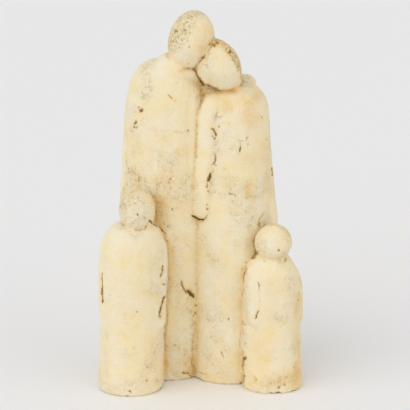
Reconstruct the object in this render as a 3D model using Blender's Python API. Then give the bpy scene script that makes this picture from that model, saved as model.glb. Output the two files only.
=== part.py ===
"""Family group sculpture, modelled and cast as one solid piece.

Two robed adults stand side by side and lean their blank, egg-shaped heads together. A child
stands against the front of each. Their arms are straps of clay laid on the robes, and the
father's left arm goes round the mother's back, with its hand on her far shoulder.

Frame: metres, +Z up, the front towards -Y, +X to the right as seen from the front. The origin
is on the floor under the middle of the whole group. Angles round a robe are in degrees: 0 is
its right side, 90 its back, 180 its left side and 270 its front.
"""

import math
from dataclasses import dataclass

import bpy
import numpy as np

# The robes: height to the top of the shoulders, width and depth of the foot.
FATHER_HEIGHT = 0.3325
FATHER_WIDTH = 0.086
FATHER_DEPTH = 0.080
MOTHER_HEIGHT = 0.308
MOTHER_WIDTH = 0.086
MOTHER_DEPTH = 0.088
SON_HEIGHT = 0.176
SON_WIDTH = 0.066
SON_DEPTH = 0.062
DAUGHTER_HEIGHT = 0.143
DAUGHTER_WIDTH = 0.061
DAUGHTER_DEPTH = 0.058

# Where they stand: the father's foot centre, and how far the others sink into their parent.
FATHER_X = -0.0380
FATHER_Y = 0.0200
PARENTS_OVERLAP = 0.0155
MOTHER_STEP_FORWARD = 0.0045
SON_SINK = 0.0140
SON_SIDE = 237.0
DAUGHTER_SINK = 0.0180
DAUGHTER_SIDE = 316.0

# The heads, from the crown to the chin.
FATHER_HEAD_LENGTH = 0.0600
MOTHER_HEAD_LENGTH = 0.0590
SON_HEAD_LENGTH = 0.0470
DAUGHTER_HEAD_LENGTH = 0.0365

# The arms: flat straps of clay.
ADULT_ARM_WIDTH = 0.0160
MOTHER_RIGHT_ARM_WIDTH = 0.0216
ADULT_ARM_THICKNESS = 0.0120
CHILD_ARM_WIDTH = 0.0125
DAUGHTER_RIGHT_ARM_WIDTH = 0.0165
CHILD_ARM_THICKNESS = 0.0100
HAND_LENGTH = 0.0200

# The mound under the father's head: its size and its drop below his shoulders, as shares of the
# head's length.
NECK_SIZE = (0.90, 0.75, 0.62)
NECK_DROP = 0.17

# The clay that closes the gap under the mother's chin: its place right and back of her robe's top
# and above it, and its size, as shares of her head's length.
CHIN_FILL_PLACE = (-0.45, -0.06, -0.06)
CHIN_FILL_SIZE = (0.44, 0.50, 0.40)

# The hair is a thin skin of clay on the back of each head. It spreads this many degrees, and its
# edge is rooted at a share of the head's radius. The foot's edge is rounded.
HAIR_THICKNESS = 0.0013
HAIR_SPREAD = 84
HAIR_ROOT = 0.6
FOOT_ROUND = 0.0025

# The grain at which the clay is fused, and the share of its facets that the cast keeps.
CLAY_GRAIN = 0.0022
SMOOTHING_PASSES = 4
FACET_SHARE = 0.085

# The robes run on below the floor, and a box this deep cuts them off flat.
FLOOR_CUT_DEPTH = 0.0120

CLAY_COLOUR = (0.855, 0.745, 0.545, 1.0)
CLAY_ROUGHNESS = 0.85


@dataclass
class Robe:
    """A robe: a column with an almost oval plan that closes in a dome at the shoulders."""

    x: float
    y: float
    height: float
    width: float
    depth: float
    girth: tuple  # the column's breadth as shares of the foot's, at even steps up to the top
    tilt: tuple  # how far the top stands right and back of the foot, as shares of the height
    dome_share: float  # the share of the height at which the shoulders start to close
    dome_power: float  # 2 closes them in an ellipse, and more is squarer
    plan_power: float = 2.3

    @property
    def lean(self):
        return self.tilt[0] * self.height, self.tilt[1] * self.height

    @property
    def top(self):
        return np.array([self.x + self.lean[0], self.y + self.lean[1], self.height])


@dataclass
class Head:
    """An egg on a robe. All but its length and angles are shares of its length, and its
    middle's place is measured from the top of the robe."""

    length: float
    width: float
    depth: float
    right: float
    forward: float
    above: float
    lean: float  # degrees that its top leans to the right
    nod: float  # degrees that its top leans forward
    narrowing: float  # how much the egg narrows towards the chin
    hair: tuple  # the way from the head's middle to the middle of its hair


def smooth_read(values, share):
    """Reads evenly spaced values at a share from 0 to 1, along a Catmull-Rom curve."""
    values = np.asarray(values, float)
    place = np.clip(np.asarray(share, float), 0, 1) * (len(values) - 1)
    index = np.minimum(place.astype(int), len(values) - 2)
    t = place - index
    if values.ndim > 1:
        t = t[..., None]
    before = values[np.maximum(index - 1, 0)]
    start, end = values[index], values[index + 1]
    after = values[np.minimum(index + 2, len(values) - 1)]
    return 0.5 * (
        2 * start
        + (end - before) * t
        + (2 * before - 5 * start + 4 * end - after) * t**2
        + (3 * start - before - 3 * end + after) * t**3
    )


def squared_oval(angle, power):
    """Unit superellipse at an angle in degrees: a power of 2 gives a circle, more is squarer."""
    turn = np.radians(angle)
    across, along = np.cos(turn), np.sin(turn)
    return (
        np.sign(across) * np.abs(across) ** (2 / power),
        np.sign(along) * np.abs(along) ** (2 / power),
    )


def robe_point(robe, angle, share):
    """The point of a robe's surface at an angle round it and a share of its height."""
    angle, share = np.broadcast_arrays(np.asarray(angle, float), np.asarray(share, float))
    rise = np.clip((share - robe.dome_share) / (1 - robe.dome_share), 0, 1)
    closing = (1 - rise**robe.dome_power) ** (1 / robe.dome_power)
    girth = smooth_read(robe.girth, share) * closing
    above_edge = np.clip(robe.height * share / FOOT_ROUND, 0, 1)
    inset = FOOT_ROUND * (1 - np.sqrt(1 - (1 - above_edge) ** 2))
    across, along = squared_oval(angle, robe.plan_power)
    return np.stack(
        [
            robe.x + robe.lean[0] * share + across * (girth * robe.width / 2 - inset),
            robe.y + robe.lean[1] * share + along * (girth * robe.depth / 2 - inset),
            robe.height * share,
        ],
        axis=-1,
    )


def robe_normal(robe, angle, share):
    """The outward direction at that point, square to small steps round and up the robe."""
    around = robe_point(robe, angle + 2.0, share) - robe_point(robe, angle - 2.0, share)
    up = robe_point(robe, angle, share + 0.01) - robe_point(robe, angle, share - 0.01)
    normal = np.cross(around, up)
    return normal / np.linalg.norm(normal, axis=-1, keepdims=True)


def add_grid(clay, points):
    """Adds a closed tube of rings. points is rings x columns x 3, and each ring turns to the
    left about the way to the next. A fan closes each end on its ring's middle."""
    rings, columns = points.shape[:2]
    start = clay["count"]
    index = np.arange(rings * columns).reshape(rings, columns) + start
    following = np.roll(index, -1, axis=1)
    quads = np.stack([index[:-1], following[:-1], following[1:], index[1:]], axis=-1)
    first = start + rings * columns
    last = first + 1
    clay["faces"].extend(quads.reshape(-1, 4).tolist())
    clay["faces"].extend((b, a, first) for a, b in zip(index[0].tolist(), following[0].tolist()))
    clay["faces"].extend((a, b, last) for a, b in zip(index[-1].tolist(), following[-1].tolist()))
    clay["vertices"].append(points.reshape(-1, 3))
    clay["vertices"].append(points[[0, -1]].mean(axis=1))
    clay["count"] = last + 1


def add_robe(clay, robe, columns=64):
    """Lays a robe: a stretch below the floor, the rounded foot, the column and the dome."""
    foot = FOOT_ROUND / robe.height * (1 - np.cos(np.radians([0, 30, 60, 90])))
    column = np.linspace(foot[-1], robe.dome_share, 22)[1:]
    turn = np.radians(np.linspace(0, 88.5, 16)[1:])
    dome = robe.dome_share + (1 - robe.dome_share) * np.sin(turn) ** (2 / robe.dome_power)
    shares = np.concatenate([foot, column, dome])
    angles = np.arange(columns) * 360 / columns
    points = robe_point(robe, angles[None, :], shares[:, None])
    below = points[:1] - [0, 0, FLOOR_CUT_DEPTH - CLAY_GRAIN]
    add_grid(clay, np.concatenate([below, points]))


def turned(points, lean, nod):
    """Turns points forward by nod and then to the right by lean, in degrees."""
    c, s = math.cos(math.radians(nod)), math.sin(math.radians(nod))
    about_x = np.array([[1, 0, 0], [0, c, -s], [0, s, c]])
    c, s = math.cos(math.radians(lean)), math.sin(math.radians(lean))
    about_y = np.array([[c, 0, s], [0, 1, 0], [-s, 0, c]])
    return points @ (about_y @ about_x).T


def egg_points(size, narrowing, polar, turn):
    """Points of an egg of a given width, depth and length, at angles down from its top."""
    width, depth, length = size
    height = np.cos(polar)
    waist = np.sin(polar) * (1 + narrowing * height)
    return np.stack(
        [
            waist * np.cos(turn) * width / 2,
            waist * np.sin(turn) * depth / 2,
            np.broadcast_to(height * length / 2, waist.shape),
        ],
        axis=-1,
    )


def add_egg(clay, centre, size, narrowing=0.0, lean=0.0, nod=0.0):
    """Lays an egg with its rings from the chin up."""
    polar = np.radians(np.linspace(176, 4, 24))[:, None]
    turn = np.radians(np.arange(36) * 10.0)[None, :]
    polar, turn = np.broadcast_arrays(polar, turn)
    add_grid(clay, turned(egg_points(size, narrowing, polar, turn), lean, nod) + centre)


def head_centre(robe, head):
    """The middle of a head, worked out from the top of its robe."""
    return robe.top + np.array([head.right, -head.forward, head.above]) * head.length


def add_neck(clay, robe, head):
    """Lays a mound inside the shoulders, half way to the head, that slopes them up to it."""
    middle = (robe.top + head_centre(robe, head)) / 2
    middle[2] = robe.height - NECK_DROP * head.length
    add_egg(clay, middle, np.array(NECK_SIZE) * head.length)


def add_chin_fill(clay, robe, head):
    """Lays clay between the parents' shoulders, under a chin."""
    middle = robe.top + np.array(CHIN_FILL_PLACE) * head.length
    add_egg(clay, middle, np.array(CHIN_FILL_SIZE) * head.length)


def add_head(clay, robe, head):
    """Lays a head, and its hair as a cap that stands off it by the hair's thickness."""
    centre = head_centre(robe, head)
    size = np.array([head.width, head.depth, 1.0]) * head.length
    add_egg(clay, centre, size, head.narrowing, head.lean, head.nod)
    way = np.array(head.hair) / np.linalg.norm(head.hair)
    side = np.cross(way, [0.0, 0.0, 1.0])
    side /= np.linalg.norm(side)
    third = np.cross(way, side)
    spread = np.radians([HAIR_SPREAD, *np.linspace(HAIR_SPREAD, 8, 8)])[:, None, None]
    turn = np.radians(-np.arange(36) * 10.0)[None, :, None]
    ray = way * np.cos(spread) + (side * np.cos(turn) + third * np.sin(turn)) * np.sin(spread)
    to_skin = 1 / np.linalg.norm(ray / (size / 2), axis=-1, keepdims=True)
    reach = to_skin + HAIR_THICKNESS
    reach[0] = to_skin[0] * HAIR_ROOT
    cap = ray * reach
    height = cap[..., 2:] / (head.length / 2)
    cap[..., :2] *= 1 + head.narrowing * np.clip(height, -1, 1)
    add_grid(clay, turned(cap, head.lean, head.nod) + centre)


def add_arm(clay, robe, route, width, thickness, proud, end_power=4.0):
    """Lays a strap along a robe, from the shoulder to the hand. route gives (angle, share of
    the height) at even steps. proud is how far the strap's middle stands off the robe at the
    shoulder and at the hand, as shares of its thickness."""
    s = np.linspace(0, 1, 34)
    way = smooth_read(route, s)
    normal = robe_normal(robe, way[:, 0], way[:, 1])
    stand = thickness * (proud[0] + (proud[1] - proud[0]) * s)
    middle = robe_point(robe, way[:, 0], way[:, 1]) + normal * stand[:, None]
    along = np.gradient(middle, axis=0)
    along /= np.linalg.norm(along, axis=1, keepdims=True)
    across = np.cross(along, normal)
    across /= np.linalg.norm(across, axis=1, keepdims=True)
    out = np.cross(across, along)
    narrows = np.abs(np.clip(2 * s - 1, -0.998, 0.998)) ** (2 * end_power)
    swell = (1 - narrows) ** (1 / end_power)
    a, b = squared_oval(np.arange(18) * 20.0, 2.8)
    points = (
        middle[:, None, :]
        + across[:, None, :] * (a[None, :] * swell[:, None] * width / 2)[..., None]
        + out[:, None, :] * (b[None, :] * swell[:, None] * thickness / 2)[..., None]
    )
    add_grid(clay, points)
    return middle[-1]


def stands_against(parent, angle, width, depth, sink):
    """The foot's centre of a robe that leans on its parent's robe, sunk into it."""
    foot = robe_point(parent, angle, 0.1)
    way = robe_normal(parent, angle, 0.1) * [1, 1, 0]
    centre = foot + way / np.linalg.norm(way) * ((width + depth) / 4 - sink)
    return centre[0], centre[1]


def make_robes():
    """The four robes, each child placed against its parent."""
    father = Robe(
        FATHER_X, FATHER_Y, FATHER_HEIGHT, FATHER_WIDTH, FATHER_DEPTH,
        girth=(1.0, 0.99, 0.98, 0.975, 0.965, 0.95), tilt=(0.0135, 0.0),
        dome_share=0.81, dome_power=2.9,
    )
    mother = Robe(
        FATHER_X + (FATHER_WIDTH + MOTHER_WIDTH) / 2 - PARENTS_OVERLAP,
        FATHER_Y - MOTHER_STEP_FORWARD, MOTHER_HEIGHT, MOTHER_WIDTH, MOTHER_DEPTH,
        girth=(1.02, 0.98, 0.96, 0.94, 0.91, 0.90), tilt=(-0.003, 0.010),
        dome_share=0.85, dome_power=3.1,
    )
    son_x, son_y = stands_against(father, SON_SIDE, SON_WIDTH, SON_DEPTH, SON_SINK)
    son = Robe(
        son_x, son_y, SON_HEIGHT, SON_WIDTH, SON_DEPTH,
        girth=(1.03, 0.99, 0.98, 0.995, 1.02, 1.05), tilt=(0.028, -0.011),
        dome_share=0.68, dome_power=3.1, plan_power=2.15,
    )
    daughter_x, daughter_y = stands_against(
        mother, DAUGHTER_SIDE, DAUGHTER_WIDTH, DAUGHTER_DEPTH, DAUGHTER_SINK
    )
    daughter = Robe(
        daughter_x, daughter_y, DAUGHTER_HEIGHT, DAUGHTER_WIDTH, DAUGHTER_DEPTH,
        girth=(1.055, 1.0, 0.985, 0.985, 0.99, 0.99), tilt=(-0.007, 0.0),
        dome_share=0.66, dome_power=2.25, plan_power=2.15,
    )
    return father, mother, son, daughter


HEADS = (
    Head(FATHER_HEAD_LENGTH, 0.717, 0.767, 0.408, 0.342, 0.308, 16, 4, 0.05, (-0.75, 0.45, 0.35)),
    Head(MOTHER_HEAD_LENGTH, 0.713, 0.797, -0.239, 0.300, 0.312, -36, 6, 0.00, (0.58, 0.66, 0.52)),
    Head(SON_HEAD_LENGTH, 0.745, 0.809, 0.080, 0.064, 0.187, 3, 6, 0.06, (-0.25, 0.88, 0.55)),
    Head(DAUGHTER_HEAD_LENGTH, 0.986, 1.014, 0.014, 0.082, 0.233, 0, 4, 0.02, (0.50, 0.85, 0.40)),
)


def add_arms(clay, father, mother, son, daughter):
    """Lays the eight arms that show, and the hand on the mother's far shoulder."""
    adult = (ADULT_ARM_WIDTH, ADULT_ARM_THICKNESS)
    child = (CHILD_ARM_WIDTH, CHILD_ARM_THICKNESS)
    # The mother's right arm hangs straight down the middle of the group.
    add_arm(clay, mother, [(235, 0.98), (230, 0.87), (226, 0.77), (224, 0.665), (223, 0.565)],
            MOTHER_RIGHT_ARM_WIDTH, ADULT_ARM_THICKNESS, (-0.36, 0.08))
    # The adults' outer arms hang at their sides and come forward behind the children's heads.
    add_arm(clay, father, [(168, 0.92), (174, 0.80), (180, 0.69), (189, 0.59), (204, 0.51)],
            *adult, (-0.46, 0.12))
    add_arm(clay, mother, [(362, 0.92), (357, 0.81), (353, 0.70), (348, 0.59), (342, 0.48)],
            *adult, (-0.68, 0.22))
    # The father's left arm crosses the mother's back and ends in the hand on her shoulder.
    hand = add_arm(clay, mother, [(150, 0.79), (125, 0.83), (102, 0.88), (78, 0.935), (57, 0.985)],
                   *adult, (-0.15, 0.03))
    add_egg(clay, hand, (1.1 * HAND_LENGTH, HAND_LENGTH, HAND_LENGTH))
    # The children's arms hang straight at their sides.
    add_arm(clay, son, [(350, 0.90), (346, 0.78), (343, 0.65), (339, 0.51), (335, 0.38)],
            *child, (-0.30, -0.06))
    add_arm(clay, son, [(188, 0.90), (188, 0.78), (190, 0.66), (192, 0.54), (193, 0.43)],
            *child, (-0.34, -0.30))
    add_arm(clay, daughter, [(222, 0.90), (226, 0.79), (229, 0.69), (230, 0.59), (229, 0.49)],
            DAUGHTER_RIGHT_ARM_WIDTH, CHILD_ARM_THICKNESS, (-0.42, -0.16))
    add_arm(clay, daughter, [(352, 0.90), (350, 0.79), (350, 0.68), (350, 0.58), (351, 0.48)],
            *child, (-0.38, -0.22))


def clay_material():
    """Matt, cream-washed cast material."""
    material = bpy.data.materials.new("cream cast clay")
    material.use_nodes = True
    shader = material.node_tree.nodes["Principled BSDF"]
    shader.inputs["Base Color"].default_value = CLAY_COLOUR
    shader.inputs["Roughness"].default_value = CLAY_ROUGHNESS
    shader.inputs["Metallic"].default_value = 0.0
    material.diffuse_color = CLAY_COLOUR
    return material


def make_floor_cut():
    """The box that cuts the underside flat at the floor."""
    half = FATHER_WIDTH + MOTHER_WIDTH + SON_WIDTH
    corners = [(x * half, y * half, z) for z in (-FLOOR_CUT_DEPTH, 0.0)
               for x, y in ((-1, -1), (1, -1), (1, 1), (-1, 1))]
    sides = [(a, (a + 1) % 4, (a + 1) % 4 + 4, a + 4) for a in range(4)]
    mesh = bpy.data.meshes.new("floor cut")
    mesh.from_pydata(corners, [], [(3, 2, 1, 0), (4, 5, 6, 7), *sides])
    box = bpy.data.objects.new("floor cut", mesh)
    box.hide_render = True
    box.display_type = "WIRE"
    bpy.context.scene.collection.objects.link(box)
    return box


def main():
    """Lays the clay, fuses it into one body and cuts it flat at the floor."""
    robes = make_robes()
    clay = {"vertices": [], "faces": [], "count": 0}
    for robe, head in zip(robes, HEADS):
        add_robe(clay, robe)
        add_head(clay, robe, head)
    add_neck(clay, robes[0], HEADS[0])
    add_chin_fill(clay, robes[1], HEADS[1])
    add_arms(clay, *robes)

    mesh = bpy.data.meshes.new("family_group")
    mesh.from_pydata(np.concatenate(clay["vertices"]).tolist(), [], clay["faces"])
    mesh.shade_smooth()
    mesh.materials.append(clay_material())
    group = bpy.data.objects.new("family_group", mesh)
    bpy.context.scene.collection.objects.link(group)

    fuse = group.modifiers.new("fuse the clay", "REMESH")
    fuse.mode = "VOXEL"
    fuse.voxel_size = CLAY_GRAIN
    fuse.use_smooth_shade = True
    soften = group.modifiers.new("soften", "SMOOTH")
    soften.factor = 0.5
    soften.iterations = SMOOTHING_PASSES
    facets = group.modifiers.new("facets", "DECIMATE")
    facets.ratio = FACET_SHARE
    flat = group.modifiers.new("cut flat at the floor", "BOOLEAN")
    flat.operation = "DIFFERENCE"
    flat.solver = "EXACT"
    flat.object = make_floor_cut()
    return group


for old in list(bpy.data.objects):
    bpy.data.objects.remove(old)
main()
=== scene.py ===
# %% [markdown]
# # A family group, modelled by hand and cast in one piece
#
# Two robed adults lean their blank, egg-shaped heads together, and a child stands against the
# front of each. The real one was pressed and smoothed by hand and cast as one body. A cream wash
# covers it, rubbed pale on the high places and left ochre and brown in the low ones.
#
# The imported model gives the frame: metres, +Z up, the front towards -Y. Its box is kept, so that
# the finished piece can be held against it at the end.

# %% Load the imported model
import math
from dataclasses import dataclass
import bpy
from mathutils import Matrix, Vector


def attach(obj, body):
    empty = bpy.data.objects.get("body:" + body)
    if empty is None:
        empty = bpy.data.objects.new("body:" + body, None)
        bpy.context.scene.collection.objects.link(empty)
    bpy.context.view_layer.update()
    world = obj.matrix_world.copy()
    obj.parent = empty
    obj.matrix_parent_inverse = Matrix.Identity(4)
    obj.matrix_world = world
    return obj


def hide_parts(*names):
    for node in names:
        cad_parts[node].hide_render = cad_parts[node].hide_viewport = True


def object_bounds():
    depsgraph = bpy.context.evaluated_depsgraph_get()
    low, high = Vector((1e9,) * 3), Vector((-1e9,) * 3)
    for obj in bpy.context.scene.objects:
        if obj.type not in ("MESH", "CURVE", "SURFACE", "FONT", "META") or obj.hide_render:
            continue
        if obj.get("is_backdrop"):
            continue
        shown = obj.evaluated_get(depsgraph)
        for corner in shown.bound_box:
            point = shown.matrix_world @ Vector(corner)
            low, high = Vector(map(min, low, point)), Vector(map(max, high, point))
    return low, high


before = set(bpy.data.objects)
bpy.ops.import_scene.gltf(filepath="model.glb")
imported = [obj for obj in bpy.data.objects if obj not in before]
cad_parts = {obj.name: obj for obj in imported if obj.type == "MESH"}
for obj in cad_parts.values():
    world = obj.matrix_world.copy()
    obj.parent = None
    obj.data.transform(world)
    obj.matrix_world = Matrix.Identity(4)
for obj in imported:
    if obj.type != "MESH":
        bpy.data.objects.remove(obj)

from types import SimpleNamespace

import bpy
import numpy as np

cad_box = [list(corner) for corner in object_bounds()]
print("packed model, low and high corner:", cad_box)

# %% [markdown]
# ## The camera
#
# The photograph looks down a little, from far enough away that the robes' sides stay upright. The
# camera comes first here, because many small marks are placed by where the photograph shows them.
# That needs the camera's own sum turned round: seen() tells which pixel a point falls on.

# %% Set the camera
PHOTO_SIZE = 410
FOCAL_PIXELS = 1250
SENSOR_MM = 36.0
AIM = np.array([0.0045, 0.0225, 0.1788])
DISTANCE = 1.3
ELEVATION = math.radians(14)

TOWARD_CAMERA = np.array([0, -math.cos(ELEVATION), math.sin(ELEVATION)])
CAMERA_UP = np.array([0, math.sin(ELEVATION), math.cos(ELEVATION)])
EYE = AIM + DISTANCE * TOWARD_CAMERA

camera_data = bpy.data.cameras.new("camera")
camera_data.sensor_width = SENSOR_MM
camera_data.lens = SENSOR_MM * FOCAL_PIXELS / PHOTO_SIZE
camera = bpy.data.objects.new("camera", camera_data)
camera.location = EYE
camera.rotation_euler = (math.pi / 2 - ELEVATION, 0, 0)
bpy.context.scene.collection.objects.link(camera)
bpy.context.scene.camera = camera


def seen(points):
    """The pixel across and down, and the distance ahead of the camera, of points in metres. A
    pixel is the offset along the camera's right or up, over the distance ahead, times the
    focal length."""
    offset = points - EYE
    ahead = -(offset @ TOWARD_CAMERA)
    across = PHOTO_SIZE / 2 + FOCAL_PIXELS * offset[:, 0] / ahead
    down = PHOTO_SIZE / 2 - FOCAL_PIXELS * (offset @ CAMERA_UP) / ahead
    return across, down, ahead


print("lens in mm:", round(camera_data.lens, 2))

# %% [markdown]
# ## The robes
#
# A robe is a column with an almost oval plan that closes in a dome at the shoulders. It is a
# surface of two parameters, the angle round it and the share of its height, so the same function
# serves all four robes and also tells where an arm lies on them. The sizes are the packed
# model's own, but the grids are finer, because this skin is looked at from close by.

# %% Robe surface
FOOT_ROUND = 0.0025
STEP_ROUND = 2.0
STEP_UP = 0.01


@dataclass
class Robe:
    """A robe. girth and tilt are shares of the foot's size and of the height, and the dome runs
    from dome_share of the height to the top."""

    x: float
    y: float
    height: float
    width: float
    depth: float
    girth: tuple
    tilt: tuple
    dome_share: float
    dome_power: float
    plan_power: float = 2.3

    @property
    def lean(self):
        return self.tilt[0] * self.height, self.tilt[1] * self.height

    @property
    def top(self):
        return np.array([self.x + self.lean[0], self.y + self.lean[1], self.height])


def smooth_read(values, share):
    """Reads evenly spaced values at a share from 0 to 1, along a Catmull-Rom curve: a cubic
    through each pair of values, with the slopes of the chords across their neighbours."""
    values = np.asarray(values, float)
    place = np.clip(np.asarray(share, float), 0, 1) * (len(values) - 1)
    index = np.minimum(place.astype(int), len(values) - 2)
    t = place - index
    if values.ndim > 1:
        t = t[..., None]
    before = values[np.maximum(index - 1, 0)]
    start, end = values[index], values[index + 1]
    after = values[np.minimum(index + 2, len(values) - 1)]
    return 0.5 * (
        2 * start
        + (end - before) * t
        + (2 * before - 5 * start + 4 * end - after) * t**2
        + (3 * start - before - 3 * end + after) * t**3
    )


def squared_oval(angle, power):
    """Unit superellipse: cosine and sine of the angle, each raised to 2 / power with its sign
    kept. A power of 2 gives a circle, and more is squarer."""
    turn = np.radians(angle)
    across, along = np.cos(turn), np.sin(turn)
    return (
        np.sign(across) * np.abs(across) ** (2 / power),
        np.sign(along) * np.abs(along) ** (2 / power),
    )


def robe_point(robe, angle, share):
    """The point of a robe at an angle round it and a share of its height. The plan is a squared
    oval times the girth, which the dome closes as (1 - rise^p)^(1/p)."""
    angle, share = np.broadcast_arrays(np.asarray(angle, float), np.asarray(share, float))
    rise = np.clip((share - robe.dome_share) / (1 - robe.dome_share), 0, 1)
    closing = (1 - rise**robe.dome_power) ** (1 / robe.dome_power)
    girth = smooth_read(robe.girth, share) * closing
    above_edge = np.clip(robe.height * share / FOOT_ROUND, 0, 1)
    inset = FOOT_ROUND * (1 - np.sqrt(1 - (1 - above_edge) ** 2))
    across, along = squared_oval(angle, robe.plan_power)
    return np.stack(
        [
            robe.x + robe.lean[0] * share + across * (girth * robe.width / 2 - inset),
            robe.y + robe.lean[1] * share + along * (girth * robe.depth / 2 - inset),
            robe.height * share,
        ],
        axis=-1,
    )


def robe_normal(robe, angle, share):
    """The outward direction there: the cross product of a small step round and one up."""
    around = (
        robe_point(robe, angle + STEP_ROUND, share) - robe_point(robe, angle - STEP_ROUND, share)
    )
    up = robe_point(robe, angle, share + STEP_UP) - robe_point(robe, angle, share - STEP_UP)
    normal = np.cross(around, up)
    return normal / np.linalg.norm(normal, axis=-1, keepdims=True)


# %% [markdown]
# Every form is laid down as a closed shell: rings of points, joined by quads, with a fan at each
# end. The shells overlap freely, as lumps of clay do before they are worked together.

# %% Lay shells of clay
ROBE_COLUMNS = 120
COLUMN_RINGS = 36
DOME_RINGS = 30
FOOT_TURNS = (0, 20, 40, 60, 75, 90)
DOME_LAST_TURN = 89
FOOTING = 0.1

shells = []


def all_round(columns):
    """Angles evenly spaced all the way round, in degrees."""
    return np.arange(columns) * 360 / columns


def lay(points):
    """Lays a closed shell. points is rings x columns x 3, and each ring turns to the left about
    the way to the next, so the faces look outwards."""
    rings, columns = points.shape[:2]
    index = np.arange(rings * columns).reshape(rings, columns)
    following = np.roll(index, -1, axis=1)
    quads = np.stack([index[:-1], following[:-1], following[1:], index[1:]], axis=-1)
    first, last = rings * columns, rings * columns + 1
    fans = [(b, a, first) for a, b in zip(index[0], following[0])]
    fans += [(a, b, last) for a, b in zip(index[-1], following[-1])]
    vertices = np.concatenate([points.reshape(-1, 3), points[[0, -1]].mean(axis=1)])
    shells.append((vertices, quads.reshape(-1, 4).tolist() + fans))


def lay_robe(robe):
    """Rings up the rounded foot, the column and the dome. The dome's rings crowd together near
    the top, where it turns fastest."""
    foot = FOOT_ROUND / robe.height * (1 - np.cos(np.radians(FOOT_TURNS)))
    column = np.linspace(foot[-1], robe.dome_share, COLUMN_RINGS)[1:]
    turn = np.radians(np.linspace(0, DOME_LAST_TURN, DOME_RINGS)[1:])
    dome = robe.dome_share + (1 - robe.dome_share) * np.sin(turn) ** (2 / robe.dome_power)
    shares = np.concatenate([foot, column, dome])
    lay(robe_point(robe, all_round(ROBE_COLUMNS)[None, :], shares[:, None]))


def stands_against(parent, angle, width, depth, sink):
    """The foot's centre of a robe that leans on its parent's, sunk into it."""
    way = robe_normal(parent, angle, FOOTING) * [1, 1, 0]
    centre = robe_point(parent, angle, FOOTING)
    centre = centre + way / np.linalg.norm(way) * ((width + depth) / 4 - sink)
    return centre[0], centre[1]


FATHER_AT = (-0.0380, 0.0200)
PARENTS_OVERLAP = 0.0155
MOTHER_STEP_FORWARD = 0.0045
SON_PLAN = (0.066, 0.062)
DAUGHTER_PLAN = (0.061, 0.058)

father = Robe(
    *FATHER_AT, height=0.3325, width=0.086, depth=0.080,
    girth=(1.0, 0.99, 0.98, 0.975, 0.965, 0.95), tilt=(0.0135, 0.0),
    dome_share=0.81, dome_power=2.9,
)
mother = Robe(
    FATHER_AT[0] + father.width - PARENTS_OVERLAP, FATHER_AT[1] - MOTHER_STEP_FORWARD,
    height=0.308, width=0.086, depth=0.088,
    girth=(1.02, 0.98, 0.96, 0.94, 0.91, 0.90), tilt=(-0.003, 0.010),
    dome_share=0.85, dome_power=3.1,
)
son = Robe(
    *stands_against(father, 237, *SON_PLAN, sink=0.0140),
    height=0.176, width=SON_PLAN[0], depth=SON_PLAN[1],
    girth=(1.03, 0.99, 0.98, 0.995, 1.02, 1.05), tilt=(0.028, -0.011),
    dome_share=0.68, dome_power=3.1, plan_power=2.15,
)
daughter = Robe(
    *stands_against(mother, 316, *DAUGHTER_PLAN, sink=0.0180),
    height=0.143, width=DAUGHTER_PLAN[0], depth=DAUGHTER_PLAN[1],
    girth=(1.055, 1.0, 0.985, 0.985, 0.99, 0.99), tilt=(-0.007, 0.0),
    dome_share=0.66, dome_power=2.25, plan_power=2.15,
)
for robe in (father, mother, son, daughter):
    lay_robe(robe)
print("robe tops in mm:", [round(robe.height * 1000) for robe in (father, mother, son, daughter)])

# %% [markdown]
# ## The heads
#
# The heads are eggs without faces. Their hair is a thin skin of clay on the back of the egg, so it
# is the same egg pushed out by a little over a millimetre inside a cone of directions, and thinned
# out towards the cone's edge. A mound under the father's head slopes his shoulders up to it, and
# a smaller one closes the gap under the mother's chin.

# %% Heads and hair
EGG_RINGS = 44
EGG_COLUMNS = 72
EGG_FIRST_TURN = 177
EGG_LAST_TURN = 3
HAIR_THICKNESS = 0.0013
HAIR_SPREAD = 84
HAIR_FULL = 50
HAIR_RINGS = 22
HAIR_LAST_RING = 4
TUCKED_RIM = 0.6


@dataclass
class Head:
    """An egg on a robe. Width, depth and place are shares of its length, and the place is
    measured from the robe's top. lean and nod are degrees to the right and forwards, and hair
    is the way from its middle to the middle of its hair."""

    robe: Robe
    length: float
    width: float
    depth: float
    place: tuple
    lean: float
    nod: float
    narrowing: float
    hair: tuple

    @property
    def centre(self):
        return self.robe.top + np.array(self.place) * self.length

    @property
    def size(self):
        return np.array([self.width, self.depth, 1.0]) * self.length

    @property
    def hair_way(self):
        return np.array(self.hair) / np.linalg.norm(self.hair)

    @property
    def turn(self):
        """The matrix that nods the head forwards and then leans it to the right."""
        c, s = math.cos(math.radians(self.nod)), math.sin(math.radians(self.nod))
        about_x = np.array([[1, 0, 0], [0, c, -s], [0, s, c]])
        c, s = math.cos(math.radians(self.lean)), math.sin(math.radians(self.lean))
        about_y = np.array([[c, 0, s], [0, 1, 0], [-s, 0, c]])
        return about_y @ about_x


def egg_points(size, narrowing=0.0):
    """Rings of an egg from the chin up: an ellipsoid whose waist is scaled by
    1 + narrowing x height, so that it is slimmer below."""
    polar = np.radians(np.linspace(EGG_FIRST_TURN, EGG_LAST_TURN, EGG_RINGS))[:, None]
    turn = np.radians(all_round(EGG_COLUMNS))[None, :]
    height = np.cos(polar)
    waist = np.sin(polar) * (1 + narrowing * height)
    x, y, z = np.broadcast_arrays(waist * np.cos(turn), waist * np.sin(turn), height)
    return np.stack([x, y, z], axis=-1) * np.asarray(size) / 2


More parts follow.
